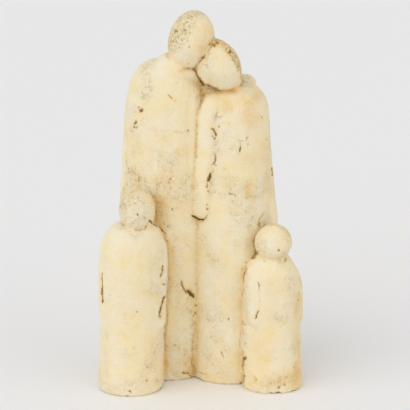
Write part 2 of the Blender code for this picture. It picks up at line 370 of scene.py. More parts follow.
def hair_points(head):
    """Rings of a cap round the hair's way. Each ray from the egg's middle reaches the ellipsoid
    at 1 / |ray / radii|, and the hair's thickness is added to that. It grows from nothing at
    the cap's edge with the square root of the way in. The rim is tucked inside the egg."""
    way = head.hair_way
    side = np.cross(way, [0.0, 0.0, 1.0])
    side /= np.linalg.norm(side)
    third = np.cross(way, side)
    rings = np.linspace(HAIR_SPREAD, HAIR_LAST_RING, HAIR_RINGS)
    degrees = np.array([HAIR_SPREAD, *rings])[:, None, None]
    spread = np.radians(degrees)
    turn = np.radians(-all_round(EGG_COLUMNS))[None, :, None]
    ray = way * np.cos(spread) + (side * np.cos(turn) + third * np.sin(turn)) * np.sin(spread)
    to_skin = 1 / np.linalg.norm(ray / (head.size / 2), axis=-1, keepdims=True)
    way_in = np.clip((HAIR_SPREAD - degrees) / (HAIR_SPREAD - HAIR_FULL), 0, 1)
    reach = to_skin + HAIR_THICKNESS * np.sqrt(way_in)
    reach[0] = to_skin[0] * TUCKED_RIM
    cap = ray * reach
    height = np.clip(cap[..., 2:] / (head.length / 2), -1, 1)
    cap[..., :2] *= 1 + head.narrowing * height
    return cap


heads = {
    "father": Head(father, 0.0600, 0.717, 0.767, (0.408, -0.342, 0.308), 16, 4, 0.05,
                   (-0.75, 0.45, 0.35)),
    "mother": Head(mother, 0.0590, 0.713, 0.797, (-0.239, -0.300, 0.312), -36, 6, 0.00,
                   (0.58, 0.66, 0.52)),
    "son": Head(son, 0.0470, 0.745, 0.809, (0.080, -0.064, 0.187), 3, 6, 0.06,
                (-0.25, 0.88, 0.55)),
    "daughter": Head(daughter, 0.0365, 0.986, 1.014, (0.014, -0.082, 0.233), 0, 4, 0.02,
                     (0.50, 0.85, 0.40)),
}
for head in heads.values():
    lay(egg_points(head.size, head.narrowing) @ head.turn.T + head.centre)
    lay(hair_points(head) @ head.turn.T + head.centre)

MOUND_SIZE = (0.90, 0.75, 0.62)
MOUND_DROP = 0.17
CHIN_FILL_PLACE = (-0.45, -0.06, -0.06)
CHIN_FILL_SIZE = (0.44, 0.50, 0.40)

mound_centre = (father.top + heads["father"].centre) / 2
mound_centre[2] = father.height - MOUND_DROP * heads["father"].length
lay(egg_points(np.array(MOUND_SIZE) * heads["father"].length) + mound_centre)
fill_centre = mother.top + np.array(CHIN_FILL_PLACE) * heads["mother"].length
lay(egg_points(np.array(CHIN_FILL_SIZE) * heads["mother"].length) + fill_centre)
print("heads:", {name: head.centre.round(4).tolist() for name, head in heads.items()})

# %% [markdown]
# ## The arms
#
# Each arm is a flat strap of clay laid along a robe, from the shoulder to the hand. Its route is
# five listed places on the robe, given as an angle round it and a share of its height. A rounded
# rectangle is carried along the smooth curve through them and closes at both ends.

# %% Arms
ADULT_ARM = (0.0160, 0.0120)
MOTHER_RIGHT_ARM = (0.0216, 0.0120)
CHILD_ARM = (0.0125, 0.0100)
DAUGHTER_RIGHT_ARM = (0.0165, 0.0100)
HAND_LENGTH = 0.0200
HAND_SIZE = np.array([1.1, 1.0, 1.0]) * HAND_LENGTH
ARM_STEPS = 60
SECTION_CORNERS = 30
SECTION_POWER = 2.8
END_POWER = 4.0
ALMOST_END = 0.998


def lay_arm(robe, route, section, proud):
    """Lays a strap. proud is how far its middle stands off the robe at the shoulder and at the
    hand, as shares of its thickness. Its section swells as (1 - |2s - 1|^8)^(1/4) along the
    way. Returns the hand's middle."""
    width, thickness = section
    s = np.linspace(0, 1, ARM_STEPS)
    way = smooth_read(route, s)
    normal = robe_normal(robe, way[:, 0], way[:, 1])
    stand = thickness * (proud[0] + (proud[1] - proud[0]) * s)
    middle = robe_point(robe, way[:, 0], way[:, 1]) + normal * stand[:, None]
    along = np.gradient(middle, axis=0)
    along /= np.linalg.norm(along, axis=1, keepdims=True)
    across = np.cross(along, normal)
    across /= np.linalg.norm(across, axis=1, keepdims=True)
    out = np.cross(across, along)
    from_middle = np.clip(2 * s - 1, -ALMOST_END, ALMOST_END)
    swell = (1 - np.abs(from_middle) ** (2 * END_POWER)) ** (1 / END_POWER)
    a, b = squared_oval(all_round(SECTION_CORNERS), SECTION_POWER)
    lay(
        middle[:, None, :]
        + across[:, None, :] * (a[None, :] * swell[:, None] * width / 2)[..., None]
        + out[:, None, :] * (b[None, :] * swell[:, None] * thickness / 2)[..., None]
    )
    return middle[-1]


# The mother's right arm hangs down the middle of the group.
lay_arm(mother, [(235, 0.98), (230, 0.87), (226, 0.77), (224, 0.665), (223, 0.565)],
        MOTHER_RIGHT_ARM, (-0.36, 0.08))
# The adults' outer arms come forward behind the children's heads.
lay_arm(father, [(168, 0.92), (174, 0.80), (180, 0.69), (189, 0.59), (204, 0.51)],
        ADULT_ARM, (-0.46, 0.12))
lay_arm(mother, [(362, 0.92), (357, 0.81), (353, 0.70), (348, 0.59), (342, 0.48)],
        ADULT_ARM, (-0.68, 0.22))
# The father's left arm crosses the mother's back and ends in the hand on her far shoulder. It
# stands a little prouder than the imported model's, so that the wash shows it.
hand = lay_arm(mother, [(150, 0.79), (125, 0.83), (102, 0.88), (78, 0.935), (57, 0.985)],
               ADULT_ARM, (0.03, 0.03))
lay(egg_points(HAND_SIZE) + hand)
# The children's arms hang straight at their sides.
lay_arm(son, [(350, 0.90), (346, 0.78), (343, 0.65), (339, 0.51), (335, 0.38)],
        CHILD_ARM, (-0.30, -0.06))
lay_arm(son, [(188, 0.90), (188, 0.78), (190, 0.66), (192, 0.54), (193, 0.43)],
        CHILD_ARM, (-0.34, -0.30))
lay_arm(daughter, [(222, 0.90), (226, 0.79), (229, 0.69), (230, 0.59), (229, 0.49)],
        DAUGHTER_RIGHT_ARM, (-0.42, -0.16))
lay_arm(daughter, [(352, 0.90), (350, 0.79), (350, 0.68), (350, 0.58), (351, 0.48)],
        CHILD_ARM, (-0.38, -0.22))
print("shells laid:", len(shells))

# %% [markdown]
# ## Working the clay together
#
# The voxel remesh melts the overlapping shells into one skin of small, even quads, with no inner
# walls. That evenness matters: the next steps press marks into it point by point. Rounds of
# averaging then soften the seams, as a thumb would. A few go everywhere, and many more go over the
# robes and arms, but not close to the heads, whose seams stayed sharp.

# %% Fuse the shells
GRAIN = 0.0006
SEAM_ROUNDS = 8
THUMB_ROUNDS = 75
EASING = 0.5
HEAD_REACH = (0.58, 0.90)
FOOT_REACH = (0.002, 0.010)


def fuse(parts, voxel):
    """Joins the shells into one mesh and remeshes it at this voxel size."""
    vertices = []
    faces = []
    count = 0
    for shell_vertices, shell_faces in parts:
        vertices.append(shell_vertices)
        faces += [[corner + count for corner in face] for face in shell_faces]
        count += len(shell_vertices)
    mesh = bpy.data.meshes.new("shells")
    mesh.from_pydata(np.concatenate(vertices).tolist(), [], faces)
    lump = bpy.data.objects.new("shells", mesh)
    bpy.context.scene.collection.objects.link(lump)
    remesh = lump.modifiers.new("fuse", "REMESH")
    remesh.mode = "VOXEL"
    remesh.voxel_size = voxel
    evaluated = lump.evaluated_get(bpy.context.evaluated_depsgraph_get())
    fused = bpy.data.meshes.new_from_object(evaluated)
    bpy.data.objects.remove(lump)
    return fused


def read_points(mesh):
    points = np.empty(len(mesh.vertices) * 3, np.float32)
    mesh.vertices.foreach_get("co", points)
    return points.reshape(-1, 3).astype(float)


def read_normals(mesh):
    normals = np.empty(len(mesh.vertices) * 3, np.float32)
    mesh.vertex_normals.foreach_get("vector", normals)
    return normals.reshape(-1, 3).astype(float)


def write_points(mesh, points):
    mesh.vertices.foreach_set("co", points.astype(np.float32).ravel())
    mesh.update()


def between(value, start, end):
    """0 before start and 1 after end, with a smooth rise 3t^2 - 2t^3 between them."""
    t = np.clip((value - start) / (end - start), 0, 1)
    return t * t * (3 - 2 * t)


def relax(points, edges, rounds, share):
    """Moves each point by its share of the way to the mean of its neighbours, this many
    times."""
    a, b = edges.T
    neighbours = np.bincount(edges.ravel(), minlength=len(points))
    for _ in range(rounds):
        mean = np.empty_like(points)
        for axis in range(3):
            value = points[:, axis]
            total = np.bincount(a, value[b], len(points)) + np.bincount(b, value[a], len(points))
            mean[:, axis] = total / neighbours
        points = points + share * (mean - points)
    return points


skin = fuse(shells, GRAIN)
edges = np.empty(len(skin.edges) * 2, np.int32)
skin.edges.foreach_get("vertices", edges)
edges = edges.reshape(-1, 2)
form = relax(read_points(skin), edges, SEAM_ROUNDS, EASING)
from_head = np.min([
    np.linalg.norm(form - head.centre, axis=1) / head.length for head in heads.values()
], axis=0)
thumbed = between(from_head, *HEAD_REACH) * between(form[:, 2], *FOOT_REACH)
write_points(skin, relax(form, edges, THUMB_ROUNDS, EASING * thumbed[:, None]))
form = read_points(skin)
out = read_normals(skin)
print("skin points:", len(form))

# %% [markdown]
# ## Hollows
#
# The wash stayed in the hollows, and the finish also paints shade into the creases and the broad
# hollows, so each point has to know how deep in one it lies. That is the share of a small ball
# round it that is clay: a half on a flat wall, more in a groove and less on an edge. The clay is
# filled into a coarse grid, blurred to the ball's size and read back.

# %% How hollow each point lies
CELL = 0.0015
GRID_MARGIN = 0.018
# tight sets the rust and brown in the creases, partly wash in the seams and partly painted shade;
# wide sets the ochre wash in the hollows; broad sets the warmer cream in broad hollows, which is
# painted shade.
BALLS = {"tight": 0.0022, "wide": 0.0070, "broad": 0.0180}


def fill_grid(mesh, points):
    """How full of clay each cell of a grid is. Each facet lays the area that it covers, seen
    from above, into the cells round its middle, counted positive where it faces down. A running
    sum up each column then gives 1 inside the clay and 0 outside."""
    mesh.calc_loop_triangles()
    corners = np.empty(len(mesh.loop_triangles) * 3, np.int32)
    mesh.loop_triangles.foreach_get("vertices", corners)
    a, b, c = (points[corners.reshape(-1, 3)[:, corner]] for corner in range(3))
    facing = np.cross(b - a, c - a)[:, 2] / 2
    low = points.min(axis=0) - GRID_MARGIN
    shape = tuple(((points.max(axis=0) + GRID_MARGIN - low) / CELL).astype(int))
    place = ((a + b + c) / 3 - low) / CELL
    corner = np.floor(place).astype(int)
    t = place - corner
    laid = np.zeros(np.prod(shape))
    for offset in np.ndindex(2, 2, 2):
        share = np.prod(np.where(offset, t, 1 - t), axis=1)
        cell = np.ravel_multi_index((corner + offset).T, shape)
        laid += np.bincount(cell, -facing * share, laid.size)
    return np.cumsum(laid.reshape(shape), axis=2) / CELL**2, low


def blur(grid, spread):
    """Gaussian blur with a Fourier transform, which weakens each wave by
    exp(-2 (pi x spread x frequency)^2)."""
    frequencies = (np.fft.fftfreq(grid.shape[0]), np.fft.fftfreq(grid.shape[1]),
                   np.fft.rfftfreq(grid.shape[2]))
    x, y, z = (np.exp(-2 * (np.pi * spread * f) ** 2) for f in frequencies)
    waves = np.fft.rfftn(grid) * x[:, None, None] * y[:, None] * z
    return np.fft.irfftn(waves, grid.shape)


def read_grid(grid, low, points):
    """Reads a grid at points, blending the eight nearest cells."""
    place = (points - low) / CELL
    corner = np.floor(place).astype(int)
    t = place - corner
    value = 0
    for offset in np.ndindex(2, 2, 2):
        share = np.prod(np.where(offset, t, 1 - t), axis=1)
        value = value + share * grid[tuple((corner + offset).T)]
    return value


clay, grid_low = fill_grid(skin, form)
hollow = {
    name: 2 * read_grid(blur(clay, radius / CELL), grid_low, form) - 1
    for name, radius in BALLS.items()
}
for name, value in hollow.items():
    print(name, "hollow, lowest, middle and highest:", np.percentile(value, (1, 50, 99)).round(2))

# %% [markdown]
# ## The hand-worked surface
#
# Nothing on the piece is smooth. Broad swellings come from the modelling, small lumps, dents and
# upright strokes from fingers and a spatula, and pinholes from air in the cast. Each is a random
# field with its own size, made from noise or from the distance to scattered spots.

# %% Random fields
def scatter(cells, seed):
    """Repeatable random numbers from 0 to 1, one for each cell of whole numbers: the numbers are
    multiplied by large primes, combined, and stirred by shifts within 32 bits."""
    x, y, z = (cells[:, axis].astype(np.int64) for axis in range(3))
    mixed = (x * 73856093 ^ y * 19349663 ^ z * 83492791 ^ seed * 2654435761) & 0xFFFFFFFF
    mixed = ((mixed ^ mixed >> 15) * 2246822519) & 0xFFFFFFFF
    mixed = ((mixed ^ mixed >> 13) * 3266489917) & 0xFFFFFFFF
    return (mixed ^ mixed >> 16) / 0xFFFFFFFF


ASKEW = np.array([[0.36, 0.48, -0.80], [-0.80, 0.60, 0.00], [0.48, 0.64, 0.60]])


def noise(points, size, seed, turned=True):
    """Smooth random hills from -1 to 1: random heights at the corners of boxes of this size,
    blended by 3t^2 - 2t^3 along each axis. The boxes are turned askew, so that no row of hills
    runs level or upright, unless they are long strokes that have to."""
    place = (points @ ASKEW if turned else points) / size
    corner = np.floor(place)
    t = place - corner
    t = t * t * (3 - 2 * t)
    value = 0
    for offset in np.ndindex(2, 2, 2):
        share = np.prod(np.where(offset, t, 1 - t), axis=1)
        value = value + share * scatter(corner + offset, seed)
    return 2 * value - 1


def layered(points, coarse, fine, seed, share=1.0):
    """A coarse noise plus this share of a finer one, which has the next seed."""
    return noise(points, coarse, seed) + share * noise(points, fine, seed + 1)


def nearest_spot(points, size, seed):
    """Distance to the nearest of the spots scattered one to a cube, and its random number."""
    home = np.floor(points / size)
    nearest = np.full(len(points), np.inf)
    number = np.zeros(len(points))
    for offset in np.ndindex(3, 3, 3):
        cell = home + offset - 1
        jitter = np.stack([scatter(cell, seed + axis) for axis in (1, 2, 3)], axis=1)
        distance = np.linalg.norm(points - (cell + jitter) * size, axis=1)
        closer = distance < nearest
        nearest = np.where(closer, distance, nearest)
        number = np.where(closer, scatter(cell, seed), number)
    return nearest, number


# %% [markdown]
# Rough areas and single marks lie where the photograph shows them. So this step finds the points
# that the camera sees and their pixels, and measures how far each is from a line of pixels. No
# mark is even, so thin ones are measured from pixels that noise has shaken about, their edges are
# ragged, and patchy and cloudy fields break them up along their way.

# %% Points in view
LEAST_FACING = 0.08
HIDDEN_BEHIND = 0.008


def in_view(points, normals):
    """True where a point faces the camera and nothing in its pixel lies 8 mm nearer."""
    across, down, ahead = seen(points)
    pixel = down.astype(int) * PHOTO_SIZE + across.astype(int)
    nearest = np.full(PHOTO_SIZE**2, np.inf)
    np.minimum.at(nearest, pixel, ahead)
    return (normals @ TOWARD_CAMERA > LEAST_FACING) & (ahead < nearest[pixel] + HIDDEN_BEHIND)


def from_line(across, down, line):
    """Distance in pixels from points to a line through the given pixels: the nearest place on
    each stretch is the point's share along it, held between 0 and 1."""
    line = np.asarray(line, float)
    point = np.stack([across, down], axis=1)
    if len(line) == 1:
        return np.linalg.norm(point - line[0], axis=1)
    nearest = np.full(len(point), np.inf)
    for start, end in zip(line[:-1], line[1:]):
        way = end - start
        share = np.clip((point - start) @ way / (way @ way), 0, 1)
        gap = np.linalg.norm(point - start - share[:, None] * way, axis=1)
        nearest = np.minimum(nearest, gap)
    return nearest


def shake(pixels, seed):
    """Pixels moved about by up to about one pixel, by a coarse and a fine noise."""
    return pixels + 0.8 * noise(near, 0.0042, seed) + 0.5 * noise(near, 0.0018, seed + 1)


def bell(gap):
    """1 on the line, falling away as exp(-gap^2)."""
    return np.exp(-(gap**2))


def over_skin(values):
    """Values of the points in view, set among zeros for all the others."""
    whole = np.zeros(len(form))
    whole[view] = values
    return whole


view = in_view(form, out)
near = form[view]
across, down, _ = seen(near)
shaken_across = shake(across, 63)
shaken_down = shake(down, 65)
ragged = 1 + 0.30 * noise(near, 0.0024, 61) + 0.30 * noise(near, 0.0011, 62)
patchy = between(layered(near, 0.0036, 0.0016, 67, 0.7), -0.5, 0.7)
cloudy = between(layered(near, 0.0110, 0.0050, 69, 0.6), -1.1, 0.6)
print("points in view:", int(view.sum()))

# %% Rough areas
# Each is (strength, half its width in pixels) and its line of pixels. The clay was left granular
# there, and specks of the wash stayed between the grains.
ROUGH = {
    "father, left of the chest": (0.6, 9, [(133, 108), (133, 130), (136, 152)]),
    "father, by the hand": (0.9, 12, [(134, 174), (140, 192)]),
    "father, waist": (0.9, 13, [(160, 184), (176, 190)]),
    "father, behind the son's head": (1.0, 9, [(156, 196), (166, 228)]),
    "father, skirt by the son": (0.7, 8, [(176, 236), (180, 300)]),
    "father, skirt, low": (1.0, 10, [(180, 345), (184, 372)]),
    "father's side of the groove": (0.9, 6, [(192, 290), (194, 372)]),
    "mother, beside the strap": (0.8, 7, [(214, 112), (216, 150), (211, 190)]),
    "mother, middle": (0.6, 12, [(236, 148), (250, 160)]),
    "mother, level band": (0.6, 7, [(222, 194), (240, 197)]),
    "mother, side": (0.5, 9, [(246, 190), (258, 212)]),
    "mother, above the daughter": (0.8, 6, [(262, 214), (252, 240)]),
    "mother, far shoulder": (0.7, 7, [(246, 84), (258, 98)]),
    "mother, low": (0.8, 11, [(206, 352), (222, 372)]),
    "daughter, side": (0.9, 4, [(246, 262), (243, 384)]),
    "daughter, chest": (0.5, 9, [(276, 290), (288, 292)]),
    "daughter, right side": (0.6, 7, [(294, 290), (297, 370)]),
    "daughter's hem": (0.9, 8, [(256, 384), (290, 378)]),
    "son's head": (0.5, 8, [(122, 200), (128, 208)]),
    "son's arm": (0.7, 4, [(163, 262), (161, 318)]),
    "son, left": (0.5, 5, [(106, 330), (106, 376)]),
    "son's hem": (0.8, 7, [(108, 388), (158, 380)]),
}

ROUGH_AT_RANDOM = 0.75
ROUGH_HOLLOW = (0.05, 0.5)

rough = ROUGH_AT_RANDOM * between(layered(form, 0.034, 0.015, 13), -0.3, 0.9)
rough = np.maximum(rough, between(hollow["wide"], *ROUGH_HOLLOW))
for strength, width, line in ROUGH.values():
    gap = from_line(across, down, line) / width
    rough[view] = np.maximum(rough[view], strength * bell(gap) * (0.6 + 0.4 * cloudy))
print("share of the skin that is rough:", round(float((rough > 0.5).mean()), 2))

# %% Swellings, lumps, strokes, dents and pinholes
SWELLING = 0.0010
LUMP = 0.00060
CRUMB = 0.00070
STROKE = 0.00025
DENT_CELL = 0.0110
DENT_SHARE = 0.5
DENT_RADIUS = 0.45 * DENT_CELL
DENT_DEPTH = 0.00055
DENT_SQUEEZE = (1.3, 1.3, 0.9)
SPECK_CELL = 0.0040
SPECK_SHARE = 0.60
SPECK_RADIUS = 0.00085
PINHOLE_CELL = 0.0075
PINHOLE_SHARE = 0.55
PINHOLE_RADIUS = 0.0010
SHAKE = 0.0008

swelling = SWELLING * (0.65 * noise(form, 0.047, 11) + 0.35 * noise(form, 0.021, 12))
lumps = LUMP * (
    0.5 * noise(form, 0.0105, 21) + 0.5 * (0.4 + 0.6 * rough) * noise(form, 0.0052, 22)
)
strokes = STROKE * noise(form, (0.0030, 0.0030, 0.0260), 31, turned=False)
crumbs = CRUMB * (0.2 + 0.8 * rough) * (
    0.6 * noise(form, 0.0027, 41) + 0.4 * noise(form, 0.0015, 42)
)


def scattered(points, cell, share, radius, seed):
    """Round bowls from 1 in the middle to 0 at the rim, and their random numbers from 0 to 1.
    This share of the cells has one, with a radius from a third of the full one up."""
    distance, number = nearest_spot(points, cell, seed)
    number = number / share
    bowl = np.clip(1 - (distance / (radius * (0.35 + 0.65 * number))) ** 2, 0, 1)
    return np.where(number < 1, bowl, 0), number


shaken = form + SHAKE * np.stack([noise(form, 0.0022, seed) for seed in (45, 46, 47)], axis=1)
dent, _ = scattered(form * DENT_SQUEEZE, DENT_CELL, DENT_SHARE, DENT_RADIUS, 55)
dents = DENT_DEPTH * (0.3 + 0.7 * rough) * dent
pinhole, pinhole_number = scattered(shaken, PINHOLE_CELL, PINHOLE_SHARE, PINHOLE_RADIUS, 51)
speck, speck_number = scattered(shaken, SPECK_CELL, SPECK_SHARE, SPECK_RADIUS, 59)
print("points in pinholes:", int((pinhole > 0).sum()), "in specks:", int((speck > 0).sum()))

# %% [markdown]
# ## Marks that the photograph shows
#
# The larger pits, cracks and stains have their own places. Each is written down as the pixels where
# the photograph shows it and is pressed into the points in view there. It is part of the skin from
# then on, so it stays in its place from every side.

# %% Pits
# Each pit is (pixel across, pixel down, radius in pixels, darkness). A dark pit is about two
# thirds as deep as its radius, and a pale one is shallower, because the wash filled it.
PITS = {
    "father, upper left of the chest": (140.6, 110.6, 2.3, 1.0),
    "its rim": (142.2, 108.8, 1.2, 0.7),
    "above it": (138.2, 107.0, 1.3, 0.4),
    "father, below that": (135.3, 123.4, 2.0, 1.0),
    "its lower end": (133.6, 127.0, 1.5, 0.9),
    "beside its lower end": (136.4, 127.4, 1.3, 0.5),
    "father, near the sleeve": (131.6, 131.4, 1.6, 0.4),
    "father, left of the sleeve": (129.3, 129.2, 1.0, 0.3),
    "father, grey at the collar": (133.5, 113.4, 1.1, 0.2),
    "father, chest dot": (153.3, 112.4, 0.9, 0.25),
    "father, right of the step": (188.4, 131.0, 1.5, 0.6),
    "its trail": (188.2, 135.6, 1.2, 0.3),
    "father, edge of the groove": (197.9, 133.8, 1.1, 0.4),
    "father, chest speck": (175.3, 154.0, 0.8, 0.4),
    "father, waist": (170.6, 179.4, 1.3, 0.5),
    "above the waist pit": (172.6, 177.0, 1.1, 0.35),
    "father, waist left": (157.6, 184.6, 1.1, 0.45),
    "father, waist right": (168.9, 183.3, 0.9, 0.3),
    "father, ring, dark": (171.7, 209.6, 1.4, 0.6),
    "father, ring, grey": (176.2, 209.0, 1.7, 0.3),
    "father, under the ring": (174.3, 211.8, 1.0, 0.3),
    "father, above the son's shoulder": (166.9, 226.0, 1.3, 0.5),
    "beside it": (164.3, 223.8, 1.2, 0.4),
    "father, beside the dark crack": (189.3, 292.6, 1.5, 0.8),
    "father, low, right": (195.4, 313.2, 1.2, 0.8),
    "father, low, right, second": (193.6, 315.5, 1.0, 0.6),
    "father, low, right, third": (196.6, 305.8, 1.0, 0.6),
    "father, skirt dot": (180.6, 248.6, 0.9, 0.45),
    "father, skirt ring": (175.0, 345.6, 1.5, 0.45),
    "father, skirt ring's end": (178.4, 348.0, 1.1, 0.35),
    "mother, beside the strap, top": (211.7, 129.3, 1.2, 0.7),
    "mother, beside the strap, darkest": (216.0, 133.4, 1.5, 1.0),
    "mother, between those": (214.2, 131.0, 1.1, 0.7),
    "mother, under the darkest": (214.9, 138.4, 1.5, 0.55),
    "mother, left of that": (212.8, 136.2, 1.3, 0.5),
    "mother, chest": (219.2, 126.8, 1.1, 0.5),
    "mother, chest right": (229.5, 123.7, 1.0, 0.4),
    "mother, sleeve": (262.0, 117.6, 1.2, 0.5),
    "mother, sleeve lower": (266.6, 139.8, 1.0, 0.5),
    "mother, beside the scratch": (248.4, 144.4, 1.5, 0.4),
    "mother, chest ochre": (231.0, 149.0, 1.3, 0.3),
    "mother, long pit's top": (209.8, 176.0, 1.7, 1.0),
    "mother, long pit's foot": (209.2, 179.2, 1.3, 0.9),
    "mother, by the strap, grey": (208.6, 191.6, 1.4, 0.7),
    "mother, by the strap's end": (207.2, 208.9, 1.4, 0.9),
    "mother, above that": (207.4, 205.2, 1.0, 0.7),
    "mother, skirt": (228.4, 319.4, 1.6, 0.8),
    "mother, skirt small": (213.7, 267.0, 1.2, 0.2),
    "mother, on her shoulder": (242.9, 81.6, 1.2, 0.6),
    "second on her shoulder": (246.0, 82.3, 1.2, 0.5),
    "father's hair, notch": (175.4, 30.3, 1.9, 0.5),
    "father's hair, dark": (184.3, 30.2, 1.4, 0.7),
    "father's hair, brown": (177.8, 37.4, 1.5, 0.55),
    "father's hair, at the edge": (171.4, 41.6, 1.6, 0.3),
    "father's cheek, grey": (189.5, 46.9, 1.2, 0.5),
    "father's chin": (188.6, 64.3, 0.8, 0.5),
    "mother's hair, corner": (214.1, 44.6, 1.9, 0.6),
    "mother's hair, corner's end": (217.9, 42.6, 1.5, 0.7),
    "mother's hair, top": (226.2, 49.2, 1.2, 0.5),
    "mother's hair, dark": (230.1, 52.2, 1.4, 0.8),
    "mother's hair, side": (234.5, 61.1, 1.2, 0.6),
    "mother's hair, low": (238.3, 66.4, 1.1, 0.5),
    "mother's hair, outer": (235.4, 56.8, 1.1, 0.5),
    "son's crown": (131.4, 192.1, 1.0, 0.5),
    "son's forehead": (137.6, 197.7, 1.0, 0.45),
    "son's temple": (135.3, 203.6, 0.9, 0.45),
    "son's temple left": (130.4, 204.7, 1.1, 0.3),
    "son's cheek": (125.4, 208.8, 1.0, 0.4),
    "son's hair": (119.8, 206.2, 1.1, 0.4),
    "son's hair, upper": (120.4, 198.2, 1.1, 0.35),
    "son's mouth": (137.6, 214.4, 1.3, 0.8),
    "son's shoulder": (123.2, 224.4, 1.3, 0.4),
    "son's arm, blob": (164.2, 284.2, 1.2, 0.6),
    "son's arm, foot of the crease": (160.3, 275.8, 1.2, 0.7),
    "son's belly": (136.4, 312.4, 1.0, 0.55),
    "son's skirt": (133.5, 348.1, 0.9, 0.7),
    "son's skirt, upper": (135.4, 345.4, 0.8, 0.3),
    "son's hem": (146.8, 381.6, 1.4, 0.5),
    "son's hem, dark": (129.8, 391.2, 0.9, 0.8),
    "son's hem, right": (157.4, 380.4, 1.2, 0.5),
    "daughter's mouth": (278.8, 250.6, 1.2, 1.0),
    "daughter's hem, dark": (279.0, 388.0, 1.5, 0.8),
    "daughter's hem, dark right": (284.8, 385.0, 1.4, 0.7),
    "daughter's skirt": (293.7, 367.0, 0.9, 0.6),
    "daughter, in the groove": (244.8, 358.2, 1.6, 0.95),
    "daughter, low in the groove": (244.2, 375.6, 1.7, 0.6),
    "daughter, at the groove's foot": (241.3, 382.6, 1.4, 0.5),
    "daughter, edge dot": (245.7, 343.3, 0.8, 0.5),
}

